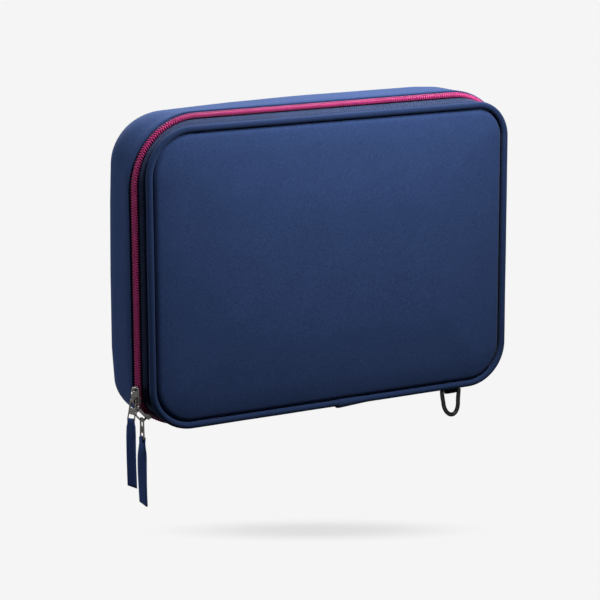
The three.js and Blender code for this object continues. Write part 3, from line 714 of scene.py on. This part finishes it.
def zipper_tapes():
    """Both woven tapes. The front one shows between the piping and the coil."""
    step = TAPE_SHOWING - GAP
    rear_face = -COIL_SINK - TAPE_THICKNESS
    front_end = COIL_MIDDLE - GAP / 2
    showing = [(0, -0.9), (0.18, -0.3), (0.4, 0.2), (0.8, 0.1), (1, 0)]
    front = [(step * a, b * MM) for a, b in showing] + [
        (TAPE_SHOWING, -COIL_SINK), (front_end, -COIL_SINK), (front_end, rear_face),
        (step - TAPE_THICKNESS / 2, rear_face),
        (step - TAPE_THICKNESS, -TAPE_THICKNESS - 0.3 * MM), (0, -2 * TAPE_THICKNESS)]
    put(band_sheet("front_tape", front, TAPE), "lid", "zipper_tape", "front_zipper_tape")
    rear_start = COIL_MIDDLE + GAP / 2
    end = BAND_LENGTH - GAP
    rear = [(rear_start, -COIL_SINK), (end - 0.8 * MM, -COIL_SINK),
            (end, -COIL_SINK + 0.4 * MM), (end, rear_face), (rear_start, rear_face)]
    put(band_sheet("rear_tape", rear, TAPE), "tray", "zipper_tape", "rear_zipper_tape")


COIL_BASE = GAP - COIL_SINK  # its underside, above the band
CORE_SECTION = [(0.3 * MM, 0), (1.9 * MM, 0), (1.6 * MM, 0.9 * MM), (0.3 * MM, 0.9 * MM)]
TOOTH_SIDES = 6
TOOTH_RADIUS = 0.36 * MM


def coil_frames():
    """Evenly spaced places along the coil: point, direction along, across and out of the band."""
    middle = open_ring(band(COIL_MIDDLE, COIL_BASE))
    across = open_ring(band(COIL_MIDDLE + MM, COIL_BASE)) - middle
    above = open_ring(band(COIL_MIDDLE, COIL_BASE + MM)) - middle
    travel = lengths_of(middle, False)
    count = 2 * int(travel[-1] / COIL_PITCH)
    places = (np.arange(count) + 0.5) * travel[-1] / count
    point, across, above = (
        np.stack([np.interp(places, travel, values[:, k]) for k in range(3)], axis=1)
        for values in (middle, across, above)
    )
    across, above = unit(across), unit(above)
    return point, np.cross(across, above), across, above


def tooth(point, ahead, across, above, side):
    """One turn of filament: from the tape up over the coil's shoulder to its head at the middle."""
    half = TEETH_WIDTH / 2
    route = [(half * 0.82, 0.2, -0.28), (half * 0.8, 0.62, -0.24), (half * 0.55, 0.84, -0.1),
             (half * 0.15, 0.84, 0.12), (-half * 0.16, 0.66, 0.22), (-half * 0.18, 0.3, 0.22)]
    path = [point + side * a * across + h * COIL_HEIGHT * above + s * COIL_PITCH * ahead
            for a, h, s in route]
    lines = tube(path, TOOTH_RADIUS * np.array([0.8, 1, 1, 1, 1, 0.7]), TOOTH_SIDES, seam=ahead)
    return grid_mesh(lines, False, True, cap=True)


def zipper_coils():
    """Alternate teeth belong to the lid's tape and to the tray's, over a flat core of their own."""
    frames = list(zip(*coil_frames()))
    for side, name, body in [(-1, "front", "lid"), (1, "rear", "tray")]:
        own = frames[0 if side < 0 else 1::2]
        teeth = [tooth(*place, side) for place in own]
        put(joined(f"{name}_coil", teeth, COIL), body, "zipper_coil", f"{name}_zipper_coil")
        section = [(COIL_MIDDLE + side * a, COIL_BASE + h) for a, h in CORE_SECTION]
        # the core's cord takes the darkened coil colour, painted shade between the teeth
        put(band_sheet(f"{name}_coil_cord", section, SHADED_COIL_CORE), body, "zipper_coil")


def lid_inside():
    """Lining, mesh pocket and its elastic hem."""
    def edge(depth):
        along = (depth - BAND_START_BACK - TAPE_THICKNESS * ALONG_OUT) / ALONG_BACK
        tape = band(along, -TAPE_THICKNESS - GAP)
        bottom_out = tape["bottom_out"] - GAP
        return dict(out=tape["out"], back=depth, bottom_out=bottom_out, level=tape["level"])
    lines = [ring(**edge(LID_LINING_BACK)), ring(**edge(LID_LINING_BACK + LINING))]
    piece = surface("lid_lining_cloth", lines, LINING_CLOTH, cap=True)
    put(piece, "lid", "lining_fabric", "lid_lining")
    mesh_pocket()
    put(strap("pocket_band", "pocket_hem"), "lid", "elastic", "pocket_hem")


STRAP_STEPS = 24


def strap(name, node):
    """A flat elastic band that fills a node's box, with rounded edges."""
    low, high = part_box(node)
    length, thick, width = high - low
    half = width / 2
    edge = thick / 2
    section = [(-half, 0.0), (-half + edge * 0.4, edge * 0.9), (-half + 2 * edge, edge * 0.75)]
    section += [(0, edge * 0.7), (half - 2 * edge, edge * 0.75), (half - edge * 0.4, edge * 0.9)]
    section += [(half, 0.0)]
    section += [(a, -b) for a, b in section[-2:0:-1]]
    middle = np.array((low + high) / 2)
    shares = [i / STRAP_STEPS for i in range(STRAP_STEPS + 1)]
    lines = [np.array([middle + [(t - 0.5) * length, b, a] for t in shares]) for a, b in section]
    return surface(name, lines, ELASTIC, False, True, cap=True)


NET_PITCH = 3.6 * MM
NET_ROW_PITCH = 3 * MM
NET_SHIFT = 0.25  # share of the pitch by which its rows step to and fro
NET_STRAND = 0.8 * MM


def mesh_pocket():
    """Knitted mesh: a lattice of thin strands below the hem."""
    low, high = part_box("mesh_pocket")
    columns = int((high.x - low.x) / NET_PITCH)
    rows = int((high.z - low.z) / NET_ROW_PITCH)
    middle = (low.y + high.y) / 2
    xs = [low.x + (high.x - low.x) * c / columns for c in range(columns + 1)]
    lines = []
    for r in range(rows + 1):
        shift = NET_SHIFT * NET_PITCH * (1 if r % 2 else -1)
        z = low.z + (high.z - low.z) * r / rows
        lines.append([(x + shift * (0 < c < columns), middle, z) for c, x in enumerate(xs)])
    points, faces, _ = grid_mesh(lines, False, False)
    piece = add_mesh("pocket_net", points, faces, flat_uvs(points, faces), MESH_CLOTH)
    strands = piece.modifiers.new("strands", "WIREFRAME")
    strands.thickness = NET_STRAND
    strands.use_even_offset = False
    put(piece, "lid", "pocket_mesh", "mesh_pocket")


# ---------------- tray

SIDE_STEPS = 6
ROUND_STEPS = 14
CLOSING_STEPS = 6
SIDE_START = 2 * MM  # behind the lip
SHELL_WAVE_SIZE = 55 * MM
SWELL_AT_MOUTH = 0.16  # where on its sine the swell begins, right behind the lip


def shell_stations(inset, back_depth, lip):
    """Stations from the tray's mouth over its side and rounded edge to its flat back."""
    side = SHELL_SIDE - inset
    drop = SHELL_BOTTOM_DROP - inset
    start = lip[-1]["back"] + SIDE_START
    stations = list(lip)
    for i in range(1, SIDE_STEPS + 1):
        depth = start + (SHELL_STRAIGHT - start) * i / SIDE_STEPS
        stations.append(dict(out=side, back=depth, bottom_out=drop,
                             bottom_back=max(depth, SHELL_FRONT_BOTTOM), level=level_at(depth)))
    for i in range(1, ROUND_STEPS + 1):
        angle = i / ROUND_STEPS * math.pi / 2
        inward = (BACK_INSET - inset) * (1 - math.cos(angle))
        depth = SHELL_STRAIGHT + (back_depth - SHELL_STRAIGHT) * math.sin(angle)
        stations.append(dict(out=side - inward, back=depth, bottom_out=drop - inward, level=2))
    return stations


def lip_fold():
    """The tray's mouth: cloth folded over beside the coil, then out to the side."""
    # mm past the end of the zipper's band, and above it
    fold = [(-0.2, -SHELL_WALL / MM), (-0.1, -1.2), (0, -0.3), (0.25, 0.2), (0.8, 0.35)]
    return [band(BAND_LENGTH + past * MM, above * MM) for past, above in fold]


def closing(edge):
    """Rings that shrink a last outline towards a line along its middle."""
    spine = edge.copy()
    spine[:, 0] = np.clip(edge[:, 0], -SIDE * 0.3, SIDE * 0.3)
    spine[:, 2] = (edge[:, 2].max() + edge[:, 2].min()) / 2
    return [edge + (spine - edge) * (i / CLOSING_STEPS) for i in range(1, CLOSING_STEPS)]


def swell(points, away):
    """How far the padded side swells outward at each point of an outline."""
    x, z = points[:, 0] / MM, points[:, 2] / MM
    on_top = np.interp(x, *np.transpose(SWELL_ON_TOP)) * np.clip(away[:, 2], 0, 1) ** 2
    left = np.interp(z, *np.transpose(SWELL_ON_LEFT)) * np.clip(-away[:, 0], 0, 1) ** 2
    right = np.interp(z, *np.transpose(SWELL_ON_RIGHT)) * np.clip(away[:, 0], 0, 1) ** 2
    return (on_top + left + right) * MM


def swollen_side():
    """The tray's outer skin, its padding swelling out between the lip and the back."""
    stations = shell_stations(0.0, CASE_DEPTH, lip_fold())
    outer = [ring(**s) for s in stations]
    wider = [ring(**dict(s, out=s["out"] + MM, bottom_out=s["bottom_out"] + MM)) for s in stations]
    mouth = len(lip_fold())
    for k in range(mouth, len(outer)):
        away = (wider[k] - outer[k]) / MM
        along = SWELL_AT_MOUTH + (1 - SWELL_AT_MOUTH) * (k - mouth) / (len(outer) - mouth)
        amount = swell(outer[k], away) * math.sin(math.pi * along)
        amount += uneven(outer[k], SHELL_WAVE_SIZE, CLOTH_WAVE)
        outer[k] += away * amount[:, None]
    return outer


def tray_shell():
    """The padded tray: inner wall, folded lip, side and back, in one closed skin."""
    outer = swollen_side()
    inner_lip = [band(BAND_LENGTH, -SHELL_WALL)]
    inner = [ring(**s) for s in shell_stations(SHELL_WALL, CASE_DEPTH - SHELL_WALL, inner_lip)]
    outer += closing(outer[-1])
    inner += closing(inner[-1])
    piece = closed_skin("tray_shell", inner[::-1] + outer, CLOTH)
    put(piece, "tray", "navy_fabric", "rear_shell")


def tray_lining():
    def skin(inset, depth):
        mouth = dict(out=SHELL_SIDE - inset, back=LINING_FRONT,
                     bottom_out=SHELL_BOTTOM_DROP - inset, bottom_back=LINING_FRONT_BOTTOM,
                     level=level_at(LINING_FRONT))
        rings = [ring(**s) for s in shell_stations(inset, depth, [mouth])]
        return rings + closing(rings[-1])
    front = skin(SHELL_WALL + GAP + LINING, REAR_LINING_BACK)
    rear = skin(SHELL_WALL + GAP, REAR_LINING_BACK + LINING)
    piece = closed_skin("tray_lining_cloth", front[::-1] + rear, LINING_CLOTH)
    put(piece, "tray", "lining_fabric", "rear_lining")


BINDING_THICKNESS = 1.6 * MM
BINDING_SIDES = 10


def mouth_binding():
    """A rounded binding in front of the lining."""
    low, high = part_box("rear_edge_binding")
    middle = SHELL_SIDE - SHELL_WALL - GAP - BINDING_THICKNESS / 2
    lines = []
    for angle in circle_angles(BINDING_SIDES):
        out = middle - BINDING_THICKNESS / 2 * math.cos(angle)
        depth = (low.y + high.y) / 2 - GROOVE_Y + (high.y - low.y) / 2 * math.sin(angle)
        bottom_out = out - SHELL_SIDE + SHELL_BOTTOM_DROP
        lines.append(ring(out, depth, bottom_out=bottom_out, level=level_at(depth)))
    piece = surface("mouth_binding", lines, SHADED_TRIM, True, True)
    put(piece, "tray", "navy_trim", "rear_edge_binding")


HINGE_STEPS_BACK = 14
HINGE_STEPS_ACROSS = 60
HINGE_SAG = 0.25 * MM
HINGE_LAP = 2.5 * GAP  # by which it reaches past the CAD's strip, to the piping


def hinge_strip():
    """The fabric under the case that the lid turns on."""
    low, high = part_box("hinge_fabric")
    thick = high.z - low.z
    front = low.y - HINGE_LAP
    below, over = [], []
    for k in range(HINGE_STEPS_BACK + 1):
        y = front + (high.y - front) * k / HINGE_STEPS_BACK
        sag = HINGE_SAG * math.sin(math.pi * k / HINGE_STEPS_BACK)
        below.append((y, low.z - sag))
        over.append((y, low.z + thick))
    xs = np.linspace(low.x, high.x, HINGE_STEPS_ACROSS + 1)
    lines = [np.array([(x, y, z) for x in xs]) for y, z in below + over[::-1]]
    piece = surface("hinge_strip", lines, SHADED_TRIM, False, True, cap=True)
    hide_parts("hinge_fabric")
    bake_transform(piece)


# ---------------- sliders, pull tabs and ribbons

SLIDER_STANDOFF = 1.9 * MM  # middle of the coil to the inside of the plate
SLIDER_PLATE = 1.3 * MM
RAIL_APART = 3 * MM  # each side rail from the middle
RAIL_THICKNESS = 0.7 * MM
RAIL_LEAN = math.radians(6)
SLIDER_B_ANGLE = math.radians(35)  # down the corner from its upper end
BRIDGE_TOP = 6.9 * MM  # middle of the coil to the middle of the bridge's bar
PULLER_THICKNESS = 1.2 * MM
# Outlines in mm
PLATE_CORNERS = [(-2.5, -6), (2.5, -6), (3.4, -0.6), (3.4, 3.7),
                 (2.5, 6), (-2.5, 6), (-3.4, 3.7), (-3.4, -0.6)]
RAIL_CORNERS = [(0.3, -5.6), (2.2, -5.6), (2.2, 0), (1.2, -0.6), (0.3, -2.2)]
NOSE_PATH = [(0.0, 5.6), (0.9, 6.1), (1.7, 5.9), (2.6, 5.2)]
PULLER_CORNERS = [(-2.3, 0.9), (2.3, 0.9), (2.6, -1.5), (2.75, -9), (3, -13.4), (2.4, -14),
                  (-2.4, -14), (-3, -13.4), (-2.75, -9), (-2.6, -1.5)]
EYE_CORNERS = [(-1.75, -5.3), (-1.75, -0.6), (1.75, -0.6), (1.75, -5.3)]
SLOT_CORNERS = [(-2.2, -12.8), (-2.2, -9.6), (2.2, -9.6), (2.2, -12.8)]


def rounded(corners, radius, steps=4):
    """A closed outline from corners in mm, with each of them rounded."""
    corners = [Vector(c) * MM for c in corners]
    line = []
    for i, corner in enumerate(corners):
        before = corners[i - 1] - corner
        after = corners[(i + 1) % len(corners)] - corner
        reach = min(radius, before.length * 0.45, after.length * 0.45)
        first, last = corner + before.normalized() * reach, corner + after.normalized() * reach
        for k in range(steps + 1):
            t = k / steps
            line.append(first * (1 - t) ** 2 + corner * 2 * t * (1 - t) + last * t * t)
    return line


def pressed(name, outline, holes, thick, bevel):
    """A flat piece with rounded edges, cut from sheet: drawn in x and y, its thickness along z."""
    curve = bpy.data.curves.new(name, "CURVE")
    curve.dimensions = "2D"
    curve.fill_mode = "BOTH"
    curve.extrude = thick / 2 - bevel
    curve.bevel_depth = bevel
    curve.bevel_resolution = 2
    curve.offset = -bevel
    for line in [outline, *holes]:
        spline = curve.splines.new("POLY")
        spline.points.add(len(line) - 1)
        for point, corner in zip(spline.points, line):
            point.co = (corner[0], corner[1], 0, 1)
        spline.use_cyclic_u = True
    temporary = bpy.data.objects.new(name, curve)
    bpy.context.scene.collection.objects.link(temporary)
    bpy.context.view_layer.update()
    mesh = bpy.data.meshes.new_from_object(temporary)
    bpy.data.objects.remove(temporary)
    bpy.data.curves.remove(curve)
    points = np.array([v.co for v in mesh.vertices])
    faces = [tuple(p.vertices) for p in mesh.polygons]
    bpy.data.meshes.remove(mesh)
    uvs = [(points[v][0], points[v][1]) for face in faces for v in face]
    return points, faces, uvs


def moved(part, matrix):
    points, faces, uvs = part
    points = np.asarray(points) @ np.array(matrix.to_3x3()).T + np.array(matrix.translation)
    return points, faces, uvs


UP = Vector((0, 0, 1))
STAND_UP = Matrix.Rotation(math.pi / 2, 4, "X")  # takes y to z
EDGE_ON = Matrix.Rotation(math.pi / 2, 4, "Z") @ STAND_UP  # takes x to y and y to z


def swept(path, half_wide, half_thick, sides=10):
    """A bar of rounded oblong section along a path in the y-z plane, closed at its ends."""
    path = np.array(path)
    across = np.array([1.0, 0, 0])
    up = np.cross(unit(np.gradient(path, axis=0)), across)
    lines = []
    for angle in (np.arange(sides) + 0.5) / sides * 2 * math.pi:
        a, b = math.cos(angle), math.sin(angle)
        a, b = np.sign(a) * abs(a) ** 0.5, np.sign(b) * abs(b) ** 0.5
        lines.append(path + a * half_wide * across + b * half_thick * up)
    return grid_mesh(lines, False, True, cap=True)


def slider_base():
    """Plate, side rails and nose."""
    outline = rounded(PLATE_CORNERS, 1.2 * MM)
    plate = moved(pressed("plate", outline, [], SLIDER_PLATE, bevel=0.35 * MM), STAND_UP)
    parts = [moved(plate, Matrix.Translation((0, SLIDER_STANDOFF + SLIDER_PLATE / 2, 0)))]
    rail = rounded(RAIL_CORNERS, 0.8 * MM)
    for side in (-1, 1):
        wall = moved(pressed("rail", rail, [], RAIL_THICKNESS, bevel=0.25 * MM), EDGE_ON)
        lean = Matrix.Rotation(-side * RAIL_LEAN, 4, "Z")
        parts.append(moved(wall, Matrix.Translation((side * RAIL_APART, 0, 0)) @ lean))
    nose = [(0, a * MM, b * MM) for a, b in NOSE_PATH]
    return [*parts, swept(nose, half_wide=1.5 * MM, half_thick=0.7 * MM)]


def bridge():
    foot = SLIDER_STANDOFF + SLIDER_PLATE * 0.6
    lower = [(foot, -4.3), (BRIDGE_TOP - 1.6 * MM, -4.3), (BRIDGE_TOP - 0.4 * MM, -3.9)]
    upper = [(BRIDGE_TOP - 0.5 * MM, 3.6), (BRIDGE_TOP - 1.6 * MM, 4.2), (foot, 4.3)]
    arch = [*lower, (BRIDGE_TOP, -2.9), (BRIDGE_TOP, 0), (BRIDGE_TOP, 2.4), *upper]
    return swept([(0, a, b * MM) for a, b in arch], half_wide=1 * MM, half_thick=0.5 * MM)


def slider(letter, place, body_turn):
    """A slider in a frame with y out of the coil and z up along it.

    The bridge faces along y. The rest may be turned about the coil, in degrees.
    """
    turned = Matrix.Rotation(math.radians(body_turn), 4, "Z")
    parts = [moved(part, turned) for part in slider_base()] + [bridge()]
    piece = joined(f"slider_{letter}_metal", [moved(part, place) for part in parts], GUNMETAL)
    put(piece, f"slider_{letter}", "gunmetal", f"slider_{letter}_body")


def puller(letter, pivot):
    """A tapered tab with an eye for the bridge and a slot for the ribbon."""
    holes = [rounded(EYE_CORNERS, 0.9 * MM), rounded(SLOT_CORNERS, 0.6 * MM)]
    outline = rounded(PULLER_CORNERS, 1.4 * MM)
    tab = moved(pressed("tab", outline, holes, PULLER_THICKNESS, bevel=0.4 * MM), STAND_UP)
    piece = joined(f"puller_{letter}_metal", [moved(tab, pivot)], GUNMETAL)
    put(piece, f"puller_{letter}", "gunmetal", f"puller_{letter}")


RIBBON_LENGTH = 46.5 * MM  # below the pull tab's bar
RIBBON_TWIST = math.radians(31)
RIBBON_LAYER = 0.5 * MM
RIBBON_TURN = 0.95 * MM  # radius of its fold round the bar
RIBBON_NECK = 2.05 * MM  # half its width in the slot
RIBBON_SPREAD = 1.15 * MM  # by which half its width grows below the slot
RIBBON_OPEN = (1.2 * MM, 3.6 * MM)  # depth where it starts to spread, and the length of that
RIBBON_TWIST_RUN = (3 * MM, 12 * MM)  # the same for its twist
RIBBON_BUNCH = 0.35 * MM
RIBBON_CUT = (6 * MM, 1.3 * MM)  # length and rise of its slanted end, each side of the middle
RIBBON_BOW = 0.5 * MM
RIBBON_SECTION = [(-1, -1), (-0.97, 0), (-1, 1), (-0.6, 1.15), (0, 1.2), (0.6, 1.15), (1, 1),
                  (0.97, 0), (1, -1), (0.6, -1), (0, -1), (-0.6, -1)]


def share_past(depth, start, length):
    return min(1.0, max(0.0, (depth - start) / length))


def ribbon_path():
    """Up, over the bar and down again, as y and z, with the direction at each point."""
    tip, sewn = -RIBBON_LENGTH, -4.5 * MM
    down = [(0.42 * MM, tip + (sewn - tip) * i / 26) for i in range(27)]
    down += [(0.55 * MM, -3.2 * MM), (0.85 * MM, -1.6 * MM)]
    over = [(RIBBON_TURN * math.cos(a), RIBBON_TURN * math.sin(a))
            for a in np.linspace(0, math.pi, 9)]
    path = np.array(down + over + [(-a, b) for a, b in reversed(down)])
    return list(zip(path, unit(np.gradient(path, axis=0))))


def ribbon_point(place, ahead, corner, sway):
    """One corner of the ribbon's section at one place along its path."""
    (y, z), (dy, dz), (a, b) = place, ahead, corner
    depth = max(0.0, -z)
    spread = share_past(depth, *RIBBON_OPEN)
    x = a * (RIBBON_NECK + RIBBON_SPREAD * smooth(spread))
    bunch = (1 - spread) * RIBBON_BUNCH * a * a
    y += b * RIBBON_LAYER / 2 * -dz + math.copysign(bunch, y)
    z += b * RIBBON_LAYER / 2 * dy
    cut_length, cut_rise = RIBBON_CUT
    z += max(0.0, (depth - RIBBON_LENGTH + cut_length) / cut_length) * cut_rise * a
    down = depth / RIBBON_LENGTH
    twist = RIBBON_TWIST * smooth(share_past(depth, *RIBBON_TWIST_RUN))
    twist += math.radians(sway) * math.sin(down * math.pi * 1.6)
    bow = RIBBON_BOW * math.sin(down * math.pi)
    cos, sin = math.cos(twist), math.sin(twist)
    return x * cos - y * sin, x * sin + y * cos + bow, z


def ribbon(letter, pivot, sway):
    """A ribbon folded through the slot, sewn to itself below it, and twisting as it hangs."""
    path = ribbon_path()
    lines = [np.array([ribbon_point(place, ahead, corner, sway) for place, ahead in path])
             for corner in RIBBON_SECTION]
    cloth = moved(grid_mesh(lines, False, True, cap=True), pivot)
    piece = joined(f"ribbon_{letter}_cloth", [cloth], RIBBON)
    put(piece, f"ribbon_{letter}", "pull_ribbon", f"ribbon_{letter}")


def facing(origin, out):
    """A frame at a point, with y facing out and z up."""
    across = out.cross(UP)
    turn = Matrix((across, out, UP)).transposed().to_4x4()
    return Matrix.Translation(origin) @ turn


def joint(name):
    return next(j for j in frame["joints"] if j["name"] == name)


def slider_set(letter, centre, out, along, body_turn, lean, sway):
    """A slider, its pull tab and its ribbon. The tab leans and the ribbon sways, in degrees."""
    across = out.cross(along)
    place = Matrix.Translation(centre) @ Matrix((across, out, along)).transposed().to_4x4()
    slider(letter, place, body_turn)
    swing = joint(f"puller_{letter}_swing")
    axis = Vector(swing["axis"])
    level_out = UP.cross(axis)
    pivot = Vector(swing["pos_m"])
    tilt = Matrix.Rotation(math.radians(lean), 4, "Y")
    tilt = Matrix.Translation(pivot) @ tilt @ Matrix.Translation(-pivot)
    puller(letter, tilt @ facing(pivot, level_out))
    below = Vector(joint(f"ribbon_{letter}_swing")["pos_m"])
    ribbon(letter, facing(tilt @ below, level_out), sway)


def sliders():
    """Slider A on the left side, and slider B round the lower left corner of the coil."""
    middle = band(COIL_MIDDLE, COIL_BASE + COIL_HEIGHT / 2)
    axis = Vector(joint("puller_a_swing")["axis"])
    out = UP.cross(axis)
    low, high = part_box("slider_a_body")
    centre = Vector((-SIDE - middle["out"], GROOVE_Y + middle["back"], (low.z + high.z) / 2))
    slider_set("a", centre, out, UP, body_turn=-8, lean=9, sway=-5)

    angle = SLIDER_B_ANGLE
    wide, tall = BOTTOM_RADIUS + middle["out"], BOTTOM_RADIUS + middle["bottom_out"]
    centre = Vector((
        -SIDE + BOTTOM_RADIUS - wide * math.cos(angle),
        GROOVE_Y + middle["bottom_back"],
        BOTTOM + BOTTOM_RADIUS - tall * math.sin(angle),
    ))
    out = Vector((-tall * math.cos(angle), 0, -wide * math.sin(angle))).normalized()
    slider_set("b", centre, out, Vector((out.z, 0, -out.x)), body_turn=0, lean=0, sway=8)


# ---------------- ring, loop and small metal

RING_WIRE = 3.1 * MM
RING_TAPER = 0.14  # share of its width lost down its legs
RING_LEAN = math.radians(5)  # to the right, growing towards the bottom
RING_SHORTER = 1 * MM  # than the CAD's
RING_CORNER = 1.2 * MM  # drop from its straight bar to its legs
RING_LEG = 0.42  # share of its height
LOOP_THICKNESS = 1.2 * MM
LOOP_ROOM = 0.35 * MM  # round the wire


def d_ring():
    """Round wire bent to a D that narrows and leans a little."""
    pivot = Vector(joint("d_ring_swing")["pos_m"])
    low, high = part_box("d_ring")
    half = (high.x - low.x) / 2 - RING_WIRE / 2
    height = high.z - low.z - RING_WIRE - RING_SHORTER
    leg = height * RING_LEG
    bar = [(-half + 2 * half * i / 8, 0) for i in range(1, 8)]
    side = [(half * (1 - RING_TAPER * i / 4), -RING_CORNER - leg * i / 4) for i in range(5)]
    end, bow_top = side[-1]
    bow = [(end * math.cos(a), bow_top - (height - leg - RING_CORNER) * math.sin(a))
           for a in np.radians(np.linspace(0, 180, 25)[1:-1])]
    path = bar + side + bow + [(-a, b) for a, b in reversed(side)]
    path = [(a + b * b / height * math.sin(RING_LEAN), 0, b) for a, b in path]
    lines = tube(np.array(path) + np.array(pivot), RING_WIRE / 2, 16, closed=True)
    put(surface("hanging_ring", lines, BLACK_METAL, True, True), "d_ring", "black_metal", "d_ring")


def ring_loop():
    """Webbing round the ring's bar, its two layers sewn together behind it."""
    pivot = Vector(joint("d_ring_swing")["pos_m"])
    low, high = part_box("ring_loop")
    radius = RING_WIRE / 2 + LOOP_ROOM + LOOP_THICKNESS / 2
    end = high.y - pivot.y
    top = high.z - pivot.z - LOOP_THICKNESS / 2
    bottom = top - LOOP_THICKNESS
    upper = [(end * (1 - i / 6), top + (radius - top) * (i / 6) ** 1.5) for i in range(6)]
    wrap = [(radius * math.cos(a), radius * math.sin(a))
            for a in np.linspace(math.pi / 2, math.pi * 1.5, 14)]
    lower = [(end * i / 6, (bottom + radius) * (i / 6) ** 0.8 - radius) for i in range(1, 7)]
    path = np.array([(0, a, b) for a, b in upper + wrap + lower]) + np.array(pivot)
    part = swept(path, (high.x - low.x) / 2, LOOP_THICKNESS / 2, sides=12)
    put(joined("ring_webbing", [part], WEBBING), "tray", "webbing", "ring_loop")


def kept(name, material):
    """A plain solid that isn't replaced, with a look of its own."""
    node = frame["nodes"][name]
    node.data.materials.clear()
    node.data.materials.append(material)
    return node


def small_metal():
    """The zipper's stops, with softened edges."""
    for name in ("zipper_stop_left", "zipper_stop_right"):
        edge = kept(name, GUNMETAL).modifiers.new("edge", "BEVEL")
        edge.width = 0.35 * MM
        edge.segments = 3


def hidden_boards():
    """Stiffeners, which stay inside the lid and the tray."""
    for name in ("lid_board", "back_board"):
        kept(name, BOARD_STOCK)


lid_cover()
lid_piping()
piping_join()
zipper_tapes()
zipper_coils()
lid_inside()
tray_shell()
tray_lining()
mouth_binding()
put(strap("paddle_strap", "racket_strap"), "tray", "elastic", "racket_strap")
hinge_strip()
sliders()
d_ring()
ring_loop()
small_metal()
hidden_boards()
